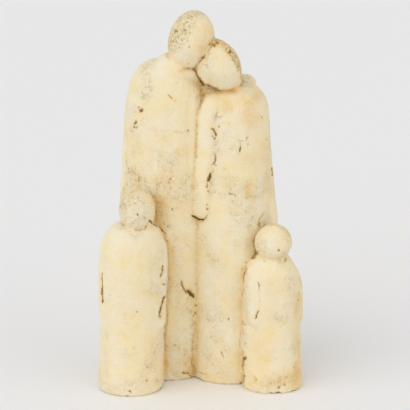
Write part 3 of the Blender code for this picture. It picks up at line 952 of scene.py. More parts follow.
# %% Cracks, creases and scratches
# Each is (half its width in pixels, depth in mm, darkness) and its line of pixels.
LINES = {
    "under the strap's end": (1.0, 1.3, 1.0,
        [(192.2, 215.4), (195.1, 216.6), (197.7, 218.4), (201.0, 219.4), (204.2, 219.8)]),
    "round the strap's corner": (0.7, 0.9, 0.6, [(204.2, 219.8), (206.0, 217.6), (207.2, 215.4)]),
    "below the strap's end": (0.8, 0.6, 0.45, [(197.0, 222.8), (198.6, 226.6), (198.8, 230.6)]),
    "between the heads": (0.9, 0.8, 0.35, [(211.6, 47.1), (208.4, 50.9), (203.3, 57.3)]),
    "between the heads, dark": (0.8, 0.8, 0.7, [(204.6, 56.0), (202.6, 58.4), (199.0, 62.2)]),
    "between the heads, low": (0.8, 0.8, 0.35, [(200.7, 60.5), (196.9, 65.0), (195.2, 68.0)]),
    "mother's jaw": (1.1, 0.3, 0.75,
        [(193.4, 68.8), (194.8, 71.0), (197.4, 74.2), (200.7, 78.6), (203.0, 81.4)]),
    "mother's chin": (1.5, 0.3, 0.95, [(202.0, 82.2), (204.8, 84.4)]),
    "under the mother's chin": (1.8, 0.2, 0.70,
        [(207.6, 84.6), (212.2, 86.2), (216.0, 88.3), (220.6, 89.4)]),
    "under the mother's cheek": (1.1, 0.6, 0.35, [(220.6, 89.4), (226.0, 90.4), (233.0, 90.6)]),
    "father's chin": (1.3, 0.7, 0.4, [(180.6, 69.6), (184.1, 69.4), (188.4, 68.8), (193.4, 68.8)]),
    "marks on the mother's cheek": (0.7, 0.4, 0.35, [(201.6, 62.2), (204.6, 63.8), (206.4, 66.4)]),
    "valley under her chin": (0.9, 0.5, 0.3, [(203.0, 86.8), (200.6, 91.2), (197.2, 98.0)]),
    "valley, streak": (0.8, 0.4, 0.35, [(196.6, 93.6), (194.8, 98.4)]),
    "father, long scratch": (0.45, 0.4, 0.75, [(168.3, 95.2), (170.4, 96.8), (172.8, 98.9)]),
    "father, scratch's end": (0.4, 0.35, 0.6, [(174.2, 100.2), (175.9, 101.6)]),
    "father, small arc": (0.5, 0.3, 0.35, [(144.0, 96.2), (145.2, 94.4), (148.4, 94.2)]),
    "father, step on the chest": (0.9, 0.30, 0.16,
        [(150.6, 129.4), (158.0, 130.4), (165.0, 132.2), (174.4, 131.0), (183.0, 132.4)]),
    "father, patch's side": (0.8, 0.3, 0.3, [(174.3, 129.6), (174.4, 132.6)]),
    "father, patch's top": (0.9, 0.35, 0.4, [(175.0, 131.8), (182.6, 132.5)]),
    "father, flecks in the groove": (0.6, 0.4, 0.35, [(193.8, 157.0), (198.8, 156.2)]),
    "father's sleeve": (0.6, 0.5, 0.4, [(126.5, 160.6), (126.4, 166.2), (128.6, 169.6)]),
    "father's hand, ring": (0.8, 0.6, 0.35,
        [(129.2, 171.4), (132.4, 171.2), (132.6, 174.6), (129.6, 174.8), (128.2, 172.4)]),
    "father's hand, knuckle": (0.8, 0.6, 0.35, [(136.6, 172.6), (139.4, 175.0), (138.4, 180.4)]),
    "father's hand, lower": (0.8, 0.5, 0.25, [(130.0, 179.4), (136.4, 181.2)]),
    "father's hand, edge": (0.9, 0.9, 0.3, [(144.2, 179.0), (144.5, 186.0), (147.4, 188.8)]),
    "father, below the hand": (0.9, 0.7, 0.25, [(147.4, 188.8), (151.4, 192.6)]),
    "father, hairline": (0.5, 0.3, 0.2, [(166.3, 203.0), (168.0, 208.0), (170.3, 212.4)]),
    "behind the son's head, flecks": (0.9, 0.5, 0.35, [(156.4, 202.6), (157.6, 203.6)]),
    "behind the son's head, fleck": (0.8, 0.5, 0.4, [(159.4, 211.2), (159.2, 213.4)]),
    "son's shoulder": (0.7, 0.8, 1.0,
        [(150.4, 221.3), (152.9, 223.6), (158.2, 227.0), (161.6, 230.0), (165.0, 234.4)]),
    "son's shoulder, corner": (1.3, 0.9, 0.8, [(150.2, 221.2), (151.0, 221.8)]),
    "son's chin": (0.8, 0.6, 0.5,
        [(134.8, 230.0), (138.8, 230.8), (142.8, 229.8), (145.2, 227.8), (147.6, 225.4)]),
    "son's neck, left": (0.7, 0.4, 0.35, [(120.7, 220.6), (122.4, 224.6), (121.2, 228.2)]),
    "son's right arm, upper": (0.8, 0.7, 0.65, [(162.4, 266.4), (162.4, 271.0), (160.4, 275.6)]),
    "son's right arm, lower": (0.8, 1.0, 0.9,
        [(164.2, 296.4), (162.8, 302.4), (161.0, 309.8), (159.6, 314.0)]),
    "son's right hand": (0.9, 0.8, 0.7, [(158.8, 315.6), (161.2, 316.2)]),
    "son's left arm": (0.6, 0.9, 1.0,
        [(102.9, 273.0), (102.6, 282.0), (102.3, 294.0), (102.6, 302.6)]),
    "son's back edge": (1.0, 0.3, 0.3, [(164.6, 328.0), (164.6, 342.0), (164.3, 356.0)]),
    "son, grey marks": (0.9, 0.3, 0.15, [(126.2, 307.0), (125.0, 320.0), (125.6, 332.0)]),
    "son's hem, scratch": (0.6, 0.4, 0.3, [(155.4, 368.4), (152.6, 372.4)]),
    "father, dark crack, upper": (0.8, 0.9, 0.75, [(181.4, 281.4), (182.6, 286.4), (186.6, 293.0)]),
    "father, dark crack": (1.3, 1.6, 1.0, [(188.6, 292.0), (190.6, 293.8), (193.2, 296.6)]),
    "father, crack's tail": (0.6, 0.4, 0.25,
        [(187.7, 295.2), (187.2, 302.4), (186.5, 309.4), (189.6, 312.0)]),
    "father, skirt scratch": (0.5, 0.3, 0.3, [(185.6, 244.6), (191.2, 249.2)]),
    "father, low scratch": (0.6, 0.3, 0.3, [(169.4, 357.6), (175.3, 363.6)]),
    "father, long low mark": (0.5, 0.3, 0.25, [(178.4, 348.0), (188.0, 353.0)]),
    "groove's foot": (0.9, 0.4, 0.4,
        [(193.0, 334.0), (192.0, 343.0), (192.6, 354.0), (192.4, 362.0), (193.6, 371.0)]),
    "groove's foot, right": (0.8, 0.4, 0.4, [(196.0, 334.0), (198.4, 340.2)]),
    "father's hem": (0.8, 0.8, 0.7, [(182.4, 373.0), (188.3, 373.6), (191.2, 376.2)]),
    "mother's hem, left": (0.9, 0.5, 0.4, [(198.0, 371.8), (201.6, 373.0), (206.0, 374.4)]),
    "mother's hem, mark": (0.8, 0.4, 0.25, [(205.4, 349.2), (210.0, 349.0)]),
    "mother's skirt, scratch": (0.6, 0.6, 0.6, [(221.3, 352.2), (223.8, 356.8)]),
    "mother, curl": (0.7, 0.6, 0.55,
        [(217.4, 111.4), (215.4, 115.4), (218.2, 117.3), (221.8, 116.2)]),
    "mother, curl's foot": (0.7, 0.4, 0.5, [(216.4, 117.6), (216.0, 119.4)]),
    "mother, scratch's bar": (0.5, 0.5, 0.6, [(238.7, 140.0), (242.8, 140.7)]),
    "mother, scratch": (0.5, 0.5, 0.5, [(240.6, 142.0), (240.4, 148.0)]),
    "mother, scratch's foot": (0.9, 0.9, 0.9, [(240.4, 148.4), (240.0, 151.6)]),
    "mother, beside the scratch": (0.7, 0.4, 0.45, [(247.2, 137.4), (245.0, 141.0)]),
    "mother, darkest mark": (0.7, 0.8, 0.75, [(213.6, 129.6), (216.0, 132.4), (216.5, 135.6)]),
    "mother, upright pits": (0.8, 0.7, 0.55, [(215.7, 153.6), (215.3, 159.6), (214.4, 163.4)]),
    "mother, pits' foot": (0.6, 0.6, 0.4, [(211.8, 165.0), (214.4, 163.2), (216.6, 166.0)]),
    "mother, long pit": (1.1, 1.4, 1.0, [(209.9, 174.6), (209.1, 180.6)]),
    "mother, long pit's line": (0.6, 0.5, 0.5, [(210.2, 174.0), (213.6, 170.8)]),
    "mother, beside the strap": (0.8, 0.8, 0.65, [(207.6, 183.6), (207.4, 187.6)]),
    "mother, level marks": (0.8, 0.5, 0.5, [(228.6, 193.4), (232.6, 194.6), (236.0, 195.0)]),
    "mother's sleeve, edge": (0.8, 0.4, 0.35, [(257.0, 112.2), (260.4, 115.4), (262.4, 118.6)]),
    "mother's sleeve, dark edge": (0.8, 0.9, 0.8, [(271.7, 167.6), (272.5, 175.0)]),
    "mother's sleeve, hand": (0.9, 0.6, 0.5, [(263.4, 213.0), (259.4, 218.6), (259.6, 226.6)]),
    "daughter's head, left": (0.8, 0.3, 0.35, [(254.2, 237.4), (254.0, 246.8), (256.0, 251.4)]),
    "daughter's neck, left": (0.9, 0.5, 0.60, [(257.4, 251.4), (255.4, 255.8), (252.6, 259.0)]),
    "daughter's shoulder": (0.9, 0.4, 0.4, [(252.6, 259.0), (247.2, 263.4), (245.6, 262.6)]),
    "daughter's side, top": (0.8, 0.5, 0.6, [(247.4, 269.4), (245.0, 275.4), (243.8, 281.4)]),
    "daughter's side": (0.8, 0.4, 0.35,
        [(243.8, 281.4), (243.0, 292.0), (242.2, 304.0), (241.6, 316.0), (243.0, 323.0)]),
    "daughter's side, low": (0.8, 0.4, 0.35, [(241.6, 331.0), (240.9, 345.0), (243.6, 352.0)]),
    "daughter's side, foot": (0.9, 0.5, 0.5, [(243.6, 360.0), (242.6, 368.0), (243.0, 383.0)]),
    "daughter's left arm": (0.6, 0.6, 0.5, [(258.6, 282.4), (259.2, 290.4)]),
    "daughter's left arm, low": (0.8, 0.9, 0.7, [(258.4, 311.6), (256.8, 315.2), (255.0, 319.0)]),
    "daughter's left hand": (0.9, 0.4, 0.35, [(242.8, 320.8), (244.4, 324.4), (246.6, 325.2)]),
    "daughter's chin, left": (1.0, 0.6, 0.4, [(262.4, 258.4), (264.6, 261.2)]),
    "daughter's chin, right": (1.0, 0.7, 0.5, [(286.6, 258.4), (285.2, 261.0)]),
    "daughter's chin": (0.8, 0.3, 0.2, [(266.0, 261.4), (276.0, 263.4), (284.0, 262.0)]),
    "daughter's right arm": (0.8, 0.6, 0.5, [(299.0, 291.6), (299.6, 294.0), (301.4, 299.0)]),
    "daughter's right arm, fleck": (0.7, 0.5, 0.4, [(297.4, 300.4), (299.4, 300.6)]),
    "daughter's hem, scratch": (0.7, 0.5, 0.45, [(254.9, 377.0), (256.6, 381.0)]),
    "daughter's hem": (0.9, 0.6, 0.5, [(278.0, 386.6), (281.6, 386.0), (285.0, 384.6)]),
}

# %% Stains
# Each is (strength, half its width in pixels) and its line of pixels. A strength above 0 is ochre,
# and one below 0 is where the wash is rubbed pale. A few are painted light instead: painted shadow
# behind the son's head, painted shade under the father's chin, below his face and on its right,
# part of the warm tint on the mother's chest, and painted highlights on the mother's sleeve and the
# father's lower skirt.
STAINS = {
    "valley left of the strap": (0.80, 3.0, [(197.0, 96.0), (195.6, 130.0), (196.2, 153.0),
                                             (194.4, 180.0), (193.0, 210.0)]),
    "brightest part of the valley": (0.35, 2.2, [(196.2, 140.0), (196.4, 157.0)]),
    "groove below the strap": (0.60, 4.0, [(197.6, 226.0), (198.0, 262.0), (198.4, 300.0),
                                          (196.6, 334.0), (194.0, 372.0)]),
    # Painted shadow, partly ochre wash: the son's head shades the father's robe behind it.
    "behind the son's head": (0.60, 4.0, [(153.6, 194.0), (157.4, 203.0), (158.0, 216.0)]),
    "behind the son's head, wide": (0.45, 9.0, [(158.0, 196.0), (164.0, 206.0), (164.0, 222.0)]),
    "behind the son's head, low": (0.4, 3.6, [(155.0, 219.0), (160.0, 224.0)]),
    "above the son's shoulder": (0.65, 2.8, [(160.0, 226.0), (167.6, 238.0), (172.6, 250.0)]),
    "between the son and the father": (0.55, 3.0, [(172.4, 252.0), (171.8, 284.0), (168.0, 308.0),
                                                  (165.0, 336.0), (165.6, 374.0)]),
    "its foot": (0.35, 4.5, [(166.0, 362.0), (166.0, 374.0)]),
    "father's hand": (0.35, 7.5, [(130.0, 173.0), (138.0, 180.0)]),
    "father's hand, low": (0.4, 6.0, [(128.0, 186.0), (136.0, 188.0)]),
    "father, scraped patch": (0.5, 4.2, [(183.6, 144.0), (184.4, 157.0)]),
    "father, under the step": (0.45, 2.4, [(176.6, 133.8), (181.6, 133.8)]),
    "father, orange dab": (0.4, 3.2, [(150.4, 128.4), (154.6, 129.6)]),
    "father, orange dab, left": (0.4, 2.2, [(144.6, 116.4), (147.6, 116.6)]),
    "father, ochre strip": (0.35, 2.2, [(162.0, 146.0), (162.4, 158.0)]),
    "father, waist": (0.55, 7.5, [(160.0, 178.0), (172.0, 186.0)]),
    "father, below the waist": (0.45, 8.0, [(164.0, 200.0), (168.0, 214.0)]),
    "father's shoulder": (0.5, 3.0, [(168.0, 57.0), (170.6, 60.0)]),
    # Painted shade, partly ochre wash, under the father's chin, and painted shade on the lower
    # right of his face.
    "under the father's chin": (0.9, 3.0, [(180.0, 71.6), (192.0, 69.6)]),
    "below the father's face": (0.45, 5.0, [(190.0, 59.0), (202.0, 50.0)]),
    "notch in the father's hair": (1.0, 2.3, [(175.4, 30.4), (176.6, 29.6)]),
    "left of the father's hair": (0.5, 2.4, [(171.2, 40.0), (171.2, 44.0)]),
    "under the mother's chin": (0.9, 3.0, [(197.6, 77.0), (203.6, 86.0), (216.0, 90.6),
                                           (234.0, 91.4)]),
    "mother's cheek by the crease": (0.5, 2.4, [(208.6, 53.0), (202.4, 63.0), (198.4, 68.0)]),
    "corner of the mother's hair": (0.8, 2.8, [(213.4, 44.4), (217.4, 43.4)]),
    "mother's far shoulder": (0.25, 9.0, [(247.0, 87.0), (252.0, 95.0)]),
    "mother's near shoulder": (0.25, 9.0, [(256.0, 96.0), (262.0, 106.0)]),
    # Partly painted shade: this warm tint on the mother's chest is wash, and also the shade of a
    # place that faces away from the light.
    "mother's chest, warm": (0.75, 13.0, [(222.0, 100.0), (244.0, 103.0), (250.0, 122.0)]),
    "mother, under the curl": (0.35, 5.0, [(218.0, 113.0), (232.0, 110.0)]),
    "mother, side, upper": (0.60, 4.4, [(262.6, 146.0), (263.6, 160.0)]),
    "mother, side, middle": (0.45, 4.2, [(250.0, 158.6), (254.4, 159.6)]),
    "mother, side, lower": (0.7, 5.6, [(246.6, 184.0), (250.4, 197.0)]),
    "mother, edge of the sleeve": (0.5, 4.0, [(268.6, 160.0), (271.0, 190.0), (268.0, 208.0)]),
    "mother, level marks": (0.35, 3.0, [(227.0, 194.0), (237.0, 196.0)]),
    "mother, beside the strap": (0.35, 3.0, [(213.0, 130.0), (214.6, 160.0), (209.4, 186.0)]),
    "mother, right of the skirt": (0.45, 4.2, [(250.0, 226.0), (244.0, 262.0), (239.6, 300.0),
                                              (238.4, 350.0), (239.6, 380.0)]),
    "mother's hem": (0.35, 7.0, [(206.0, 376.0), (228.0, 380.0)]),
    "father's hem": (0.60, 6.5, [(188.0, 358.0), (190.0, 374.0)]),
    "father's skirt": (0.25, 7.0, [(180.0, 262.0), (181.0, 366.0)]),
    "father's hem, left": (0.35, 5.0, [(172.0, 366.0), (176.0, 376.0)]),
    "daughter's side": (0.3, 3.4, [(256.0, 252.0), (246.0, 268.0), (243.0, 300.0),
                                   (242.0, 340.0), (243.0, 384.0)]),
    "daughter's chest": (1.1, 1.9, [(288.8, 289.2), (289.4, 287.8)]),
    "daughter's chest, left": (0.35, 2.2, [(281.0, 289.6), (285.0, 290.0)]),
    "daughter's belly": (0.4, 3.0, [(284.0, 306.0), (289.0, 304.0)]),
    "daughter's skirt": (0.4, 2.4, [(267.0, 361.0), (271.0, 361.4)]),
    "daughter's right side": (0.75, 6.0, [(297.0, 296.0), (298.0, 330.0), (297.0, 384.0)]),
    "daughter's robe": (0.25, 14.0, [(272.0, 282.0), (272.0, 350.0)]),
    "daughter's hem": (0.55, 4.0, [(277.0, 383.0), (286.0, 381.6)]),
    "daughter's hem, left": (0.4, 2.6, [(262.0, 386.0), (271.0, 385.0)]),
    "son's belly": (0.35, 4.0, [(130.0, 316.0), (140.0, 312.0)]),
    "son's collar": (0.3, 7.0, [(134.0, 242.0), (146.0, 246.0)]),
    "son's left side": (0.35, 4.4, [(106.0, 320.0), (106.0, 372.0)]),
    "son's hem": (0.4, 3.6, [(138.0, 390.0), (150.0, 387.0)]),
    "son's hem, left": (0.35, 4.2, [(104.0, 376.0), (112.0, 390.0)]),
    "strap, rubbed": (-0.45, 4.4, [(203.0, 98.0), (203.4, 140.0), (202.0, 180.0), (200.6, 212.0)]),
    # A paler patch on the lower left of the father's head.
    "father's cheek, paler": (-0.8, 5.5, [(179.0, 53.0), (185.0, 56.0)]),
    "father, strip rubbed": (-0.8, 2.0, [(153.8, 148.0), (155.6, 172.0)]),
    "father, grey strip": (-0.5, 3.0, [(171.6, 138.0), (174.0, 166.0)]),
    "father, by the hand, rubbed": (-0.8, 2.6, [(146.4, 168.0), (146.8, 174.0)]),
    # Painted highlight: a pale strip down the front of the father's lower skirt, where its curve
    # faces the light.
    "father, lower strip, painted highlight": (-0.6, 3.0, [(181.0, 308.0), (180.6, 340.0)]),
    # Painted highlight: a pale strip on the ridge of the mother's sleeve, where it faces the light.
    "mother's sleeve, painted highlight": (-0.6, 3.4, [(259.6, 178.0), (258.6, 214.0)]),
    "mother's chest, rubbed": (-0.35, 6.0, [(226.0, 130.0), (236.0, 130.0)]),
    "mother's skirt, rubbed": (-0.6, 5.0, [(208.0, 262.0), (205.6, 300.0), (228.0, 340.0)]),
    "son's chin, grey": (-0.7, 4.6, [(136.0, 219.0), (142.0, 218.0)]),
    "son's arm, rubbed": (-0.6, 2.2, [(167.4, 262.0), (167.4, 310.0)]),
    "daughter's arm, rubbed": (-0.6, 3.6, [(252.0, 284.0), (251.0, 312.0)]),
    "daughter's face, rubbed": (-0.5, 4.6, [(266.0, 246.0), (274.0, 248.0)]),
    "daughter's skirt, rubbed": (-0.4, 4.0, [(278.0, 336.0), (276.0, 366.0)]),
    "daughter's skirt, warm": (0.35, 9.0, [(256.0, 336.0), (262.0, 372.0), (292.0, 372.0)]),
    # Painted shade: the right side of the father's face, which turns away from the light.
    "father's face, right": (0.65, 11.0, [(203.0, 28.0), (206.0, 46.0)]),
}

# %% [markdown]
# Where two forms meet, clay was smeared into some of the valleys, and the melted shells leave too
# sharp a crease there. So the valley is raised first, and then its points are averaged with their
# neighbours, the more the more clay they got, which rounds the crease out.

# %% Filled valleys
# Each is (clay in mm, half its width in pixels) and its line of pixels.
FILLED = {
    "left of the strap": (2.2, 4.0, [(197.0, 94.0), (195.6, 130.0), (196.0, 160.0),
                                     (194.2, 212.0)]),
    "below the strap": (1.6, 4.0, [(197.6, 228.0), (198.2, 262.0), (198.0, 300.0)]),
    "between the son and the father": (1.6, 3.5, [(166.0, 232.0), (172.6, 256.0), (171.6, 290.0),
                                                  (166.0, 330.0)]),
    "under the mother's chin": (2.0, 3.2, [(197.0, 74.0), (203.0, 83.0), (212.0, 87.0),
                                           (224.0, 90.5)]),
    "mother and daughter": (1.0, 3.0, [(250.0, 262.0), (243.4, 292.0), (242.0, 350.0)]),
}
MM = 0.001
SMEAR_ROUNDS = 150
LEAST_SMEAR = 0.00005

added = np.zeros(len(across))
for clay_mm, width, line in FILLED.values():
    gap = from_line(across, down, line) / width
    added = np.maximum(added, clay_mm * MM * bell(gap))
filled = over_skin(added)
smeared = filled > LEAST_SMEAR
order = np.cumsum(smeared) - 1
smeared_edges = order[edges[smeared[edges].all(axis=1)]]
form = form + out * filled[:, None]
share = EASING * filled[smeared] / filled.max()
form[smeared] = relax(form[smeared], smeared_edges, SMEAR_ROUNDS, share[:, None])
write_points(skin, form)
out = read_normals(skin)
print("smeared points:", int(smeared.sum()))

# %% [markdown]
# A pit is a round bowl and a line is a soft groove, and where marks meet the deepest one wins.
# Dirt lies in the middle of a mark, and a glow of ochre goes a few widths further, where the wash
# ran out of it. Stains add up instead, because they are thin layers of the same wash, and the few
# that paint shade, shadow and highlights add up with them.

# %% Measure the marks
PIT_DEPTH = 0.62 * DISTANCE / FOCAL_PIXELS
PIT_SPREAD = 1.05
PIT_RIM = (1.25, 0.35)
PIT_GLOW = 2.2
LINE_RIM = (1.5, 0.2)
LINE_GLOW = 3.2
MOST_OCHRE = 1.3

depth = np.zeros(len(across))
dark = np.zeros(len(across))
ochre = np.zeros(len(across))
for x, y, size, darkness in PITS.values():
    gap = from_line(shaken_across, shaken_down, [(x, y)]) * ragged / (PIT_SPREAD * size)
    bowl = np.clip(1 - gap**2, 0, 1)
    depth = np.maximum(depth, PIT_DEPTH * size * bowl * (0.4 + 0.6 * darkness))
    dirt = darkness * (0.6 + 0.4 * patchy)
    dark = np.maximum(dark, dirt * between(gap, *PIT_RIM))
    ochre = np.maximum(ochre, 0.6 * darkness * bell(gap / PIT_GLOW))
for width, deep, darkness, line in LINES.values():
    gap = from_line(shaken_across, shaken_down, line) * ragged / width
    whole = darkness + (1 - darkness) * patchy
    depth = np.maximum(depth, deep * MM * whole * bell(gap))
    dark = np.maximum(dark, darkness * whole * between(gap, *LINE_RIM))
    glow = bell(gap / LINE_GLOW) * (0.5 + 0.5 * cloudy)
    ochre = np.maximum(ochre, darkness * glow)
# The stains add up the wash, and also the painted shadow, shade and highlights among them.
stains_and_painted_light = np.zeros(len(across))
for strength, width, line in STAINS.values():
    gap = from_line(across, down, line) / width
    stains_and_painted_light = stains_and_painted_light + strength * bell(gap) * (0.55 + 0.45 * cloudy)

pressed = over_skin(depth)
dirtied = over_skin(dark)
colour_shift = over_skin(np.clip(np.maximum(ochre, stains_and_painted_light) + np.minimum(stains_and_painted_light, 0), -1, MOST_OCHRE))
print("deepest mark in mm:", round(float(pressed.max()) / MM, 2))

# %% [markdown]
# The hair was stippled with a point. Its mask is made of cones of directions, read in each head's
# own turn, so it follows the head all the way round to the back. A second cone takes it as far
# over the side of the head as the photograph shows. Each head has a strength, the width of the
# fade at the hair's edge as a difference of cosines, and its two cones in degrees.

# %% Hair mask
HAIR_CONES = {
    "father": (0.70, 0.50, ((-0.75, 0.45, 0.35), 94), ((-0.91, -0.24, 0.33), 76)),
    "mother": (1.0, 0.12, ((0.58, 0.66, 0.52), 77), ((0.84, 0.53, -0.06), 80)),
    "son": (0.35, 0.40, ((-0.25, 0.88, 0.55), 84), ((-0.66, -0.20, 0.72), 58)),
    "daughter": (0.50, 0.40, ((0.50, 0.85, 0.40), 84), ((0.78, -0.10, 0.62), 48)),
}
HAIR_SKIN = 1.16
HAIR_EDGE_SHAKE = 0.07
HAIR_EDGE_START = -0.05
STIPPLE_CELL = 0.0021
PRICK_REACH = 0.34
TINY = 1e-6

hair = np.zeros(len(form))
for name, (strength, fade, *cones) in HAIR_CONES.items():
    head = heads[name]
    local = (form - head.centre) @ head.turn
    on_head = np.linalg.norm(local / (head.size / 2), axis=1) < HAIR_SKIN
    aim = local / np.maximum(np.linalg.norm(local, axis=1, keepdims=True), TINY)
    for way, spread in cones:
        cosine = aim @ (np.array(way) / np.linalg.norm(way))
        cosine = cosine + HAIR_EDGE_SHAKE * noise(form, 0.0035, 70)
        edge = math.cos(math.radians(spread))
        inside = between(cosine, edge + HAIR_EDGE_START, edge + fade)
        hair = np.maximum(hair, strength * on_head * inside)

distance, number = nearest_spot(form, STIPPLE_CELL, 71)
prick = np.clip(1 - (distance / (PRICK_REACH * STIPPLE_CELL * (1 + number))) ** 2, 0, 1)
stipple = hair * prick * between(noise(form, 0.0048, 72), -0.9, 0.1)
print("points in stippled hair:", int((stipple > 0).sum()))

# %% [markdown]
# Below the chest the father's front was scraped with upright strokes, which end in a low step. The
# hem of every robe is a little chipped where it stands on the floor.

# %% Scraped front and chipped hem
SCRAPE = 0.00042
SCRAPED = (150, 190, 131, 178)
SIDE_FADE = 3
TOP_FADE = 0.6
FOOT_FADE = 10
HEM_HEIGHT = 0.010
HEM_CHIP = 0.0024

left, right, top, foot = SCRAPED
scraped = over_skin(
    between(across, left - SIDE_FADE, left + SIDE_FADE)
    * between(across, right + SIDE_FADE, right - SIDE_FADE)
    * between(down, top - TOP_FADE, top + TOP_FADE)
    * between(down, foot + FOOT_FADE, foot - FOOT_FADE)
)
upright = noise(form, (0.0026, 0.0060, 0.0300), 81, turned=False)
scrape = SCRAPE * scraped * (0.7 * upright - 0.45)
hem = between(form[:, 2], HEM_HEIGHT, 0.0)
chips = HEM_CHIP * hem * np.maximum(layered(form, 0.0070, 0.0030, 91, 0.6) - 0.1, 0)
print("deepest chip in mm:", round(float(chips.max()) / MM, 2))

# %% [markdown]
# All of it is now added up, in metres along each point's own outward direction, and the skin is
# moved once. The foot is pressed flat again, so that the group stands on a plain underside.

# %% Move the skin
PINHOLE_DEPTH = 0.00080
SPECK_DEPTH = 0.00025
STIPPLE_DEPTH = 0.00065
FLAT_BELOW = 0.0005

move = swelling + lumps + strokes + crumbs + scrape - dents - chips
move = move - PINHOLE_DEPTH * pinhole * (1 - hair) - SPECK_DEPTH * speck
move = move - STIPPLE_DEPTH * stipple - pressed
worked = form + out * move[:, None]
worked[:, 2] = np.where(worked[:, 2] < FLAT_BELOW, 0.0, worked[:, 2])
write_points(skin, worked)
print("moves, lowest and highest in mm:", (np.percentile(move, (0.1, 99.9)) / MM).round(2))

# %% [markdown]
# What the finish needs is kept on the points as attributes: how hollow the place is, less where
# clay was smeared in, the small relief, and the masks of the marks and the hair. The decimation
# then spends the triangles where the relief is, and it carries the attributes along.

# %% Keep the masks and thin the skin
TRIANGLE_LIMIT = 192_000
HOLLOW_LOST = 130
LOW_HEIGHT = 0.07
LOW_STAIN = 0.28

relief = (lumps + strokes + scrape + crumbs - dents) / LUMP
low = between(form[:, 2], LOW_HEIGHT, 0.0)
specks = speck * between(speck_number + 0.6 * rough + 0.3 * low, 0.6, 1.3)
pinhole_dirt = (0.10 + 0.45 * pinhole_number) * (0.3 + 0.7 * rough) * between(pinhole, 0.0, 0.6)
low_stain = LOW_STAIN * low * between(layered(form, 0.016, 0.006, 95), -0.5, 0.9)
masks = {
    # The hollows drive painted shade in the creases and broad hollows, as well as the wash.
    "hollow_tight": hollow["tight"] - HOLLOW_LOST * filled,
    "hollow_wide": hollow["wide"] - HOLLOW_LOST * filled,
    "hollow_broad": hollow["broad"],
    "relief": relief,
    "rough": rough,
    "dark": np.maximum(dirtied, pinhole_dirt),
    "specks": specks,
    # The ochre mask also carries the stains that are painted shadow, shade and highlights.
    "ochre": colour_shift + low_stain,
    "hair": hair,
    "stipple": stipple,
}
for name, value in masks.items():
    attribute = skin.attributes.new(name, "FLOAT", "POINT")
    attribute.data.foreach_set("value", value.astype(np.float32))

cast = bpy.data.objects.new("family_group_cast", skin)
bpy.context.scene.collection.objects.link(cast)
skin.calc_loop_triangles()
thin = cast.modifiers.new("thin", "DECIMATE")
thin.ratio = TRIANGLE_LIMIT / len(skin.loop_triangles)
evaluated = cast.evaluated_get(bpy.context.evaluated_depsgraph_get())
finished = bpy.data.meshes.new_from_object(evaluated)
cast.modifiers.clear()
cast.data = finished
bpy.data.meshes.remove(skin)
finished.shade_smooth()
finished.calc_loop_triangles()
print("triangles:", len(finished.loop_triangles))
print("masks kept:", [kept.name for kept in finished.attributes])

# %% [markdown]
# ## The cream wash
#
# The finish is a node tree, but its sums read better as Python. The Wire class below wraps one
# output of a node, so that + - and * between wires add the Math nodes that do the sum.

# %% Shader sums
class Wire:
    """One output in a node tree."""

    def __init__(self, tree, socket=None):
        self.tree = tree
        self.socket = socket

    def node(self, kind, sockets, output=0, **settings):
        """Adds a node: first its settings, then the values or wires of its sockets. Returns one
        of its outputs."""
        node = self.tree.nodes.new(kind)
        for name, value in settings.items():
            setattr(node, name, value)
        for name, value in sockets.items():
            if isinstance(value, Wire):
                self.tree.links.new(value.socket, node.inputs[name])
            else:
                node.inputs[name].default_value = value
        return Wire(self.tree, node.outputs[output])

    def maths(self, operation, first, second, clamp=False):
        return self.node("ShaderNodeMath", {0: first, 1: second}, operation=operation,
                         use_clamp=clamp)

    def __add__(self, other):
        return self.maths("ADD", self, other)

    __radd__ = __add__

    def __sub__(self, other):
        return self.maths("SUBTRACT", self, other)

    def __rsub__(self, other):
        return self.maths("SUBTRACT", other, self)

    def __mul__(self, other):
        return self.maths("MULTIPLY", self, other)

    __rmul__ = __mul__

    def size(self):
        """The value without its sign."""
        return self.maths("ABSOLUTE", self, 0.0)

    def held(self):
        """The value held between 0 and 1."""
        return self.maths("ADD", self, 0.0, clamp=True)

    def rise(self, start, end):
        """A smooth rise from 0 at start to 1 at end."""
        return self.node("ShaderNodeMapRange", {"Value": self, "From Min": start, "From Max": end},
                         interpolation_type="SMOOTHSTEP")

    def coat(self, other, share):
        """A colour under another one that covers this share of it."""
        return self.node("ShaderNodeMix", {0: share, 6: self, 7: other}, output=2,
                         data_type="RGBA")


def colour(red, green, blue):
    """A colour as a screen shows it, from 0 to 255, in the linear numbers of the shader."""
    values = np.array([red, green, blue]) / 255
    linear = np.where(values <= 0.04045, values / 12.92, ((values + 0.055) / 1.055) ** 2.4)
    return (*linear.tolist(), 1.0)


# %% Colours of the wash
CREAM = colour(237, 226, 196)
WARM_CREAM = colour(239, 219, 171)
CHALK = colour(234, 230, 213)
OCHRE = colour(233, 197, 128)
RUST = colour(206, 160, 88)
BROWN = colour(140, 105, 42)
DIRT = colour(92, 68, 28)
print("cream, as the shader takes it:", [round(value, 3) for value in CREAM])

# %% [markdown]
# The wash reads two kinds of field: the masks kept on the points, and clouds of noise, from grains
# of about a millimetre up to patches as wide as a hand. They are made and named once, and the
# colour and the fine relief are then sums of them.

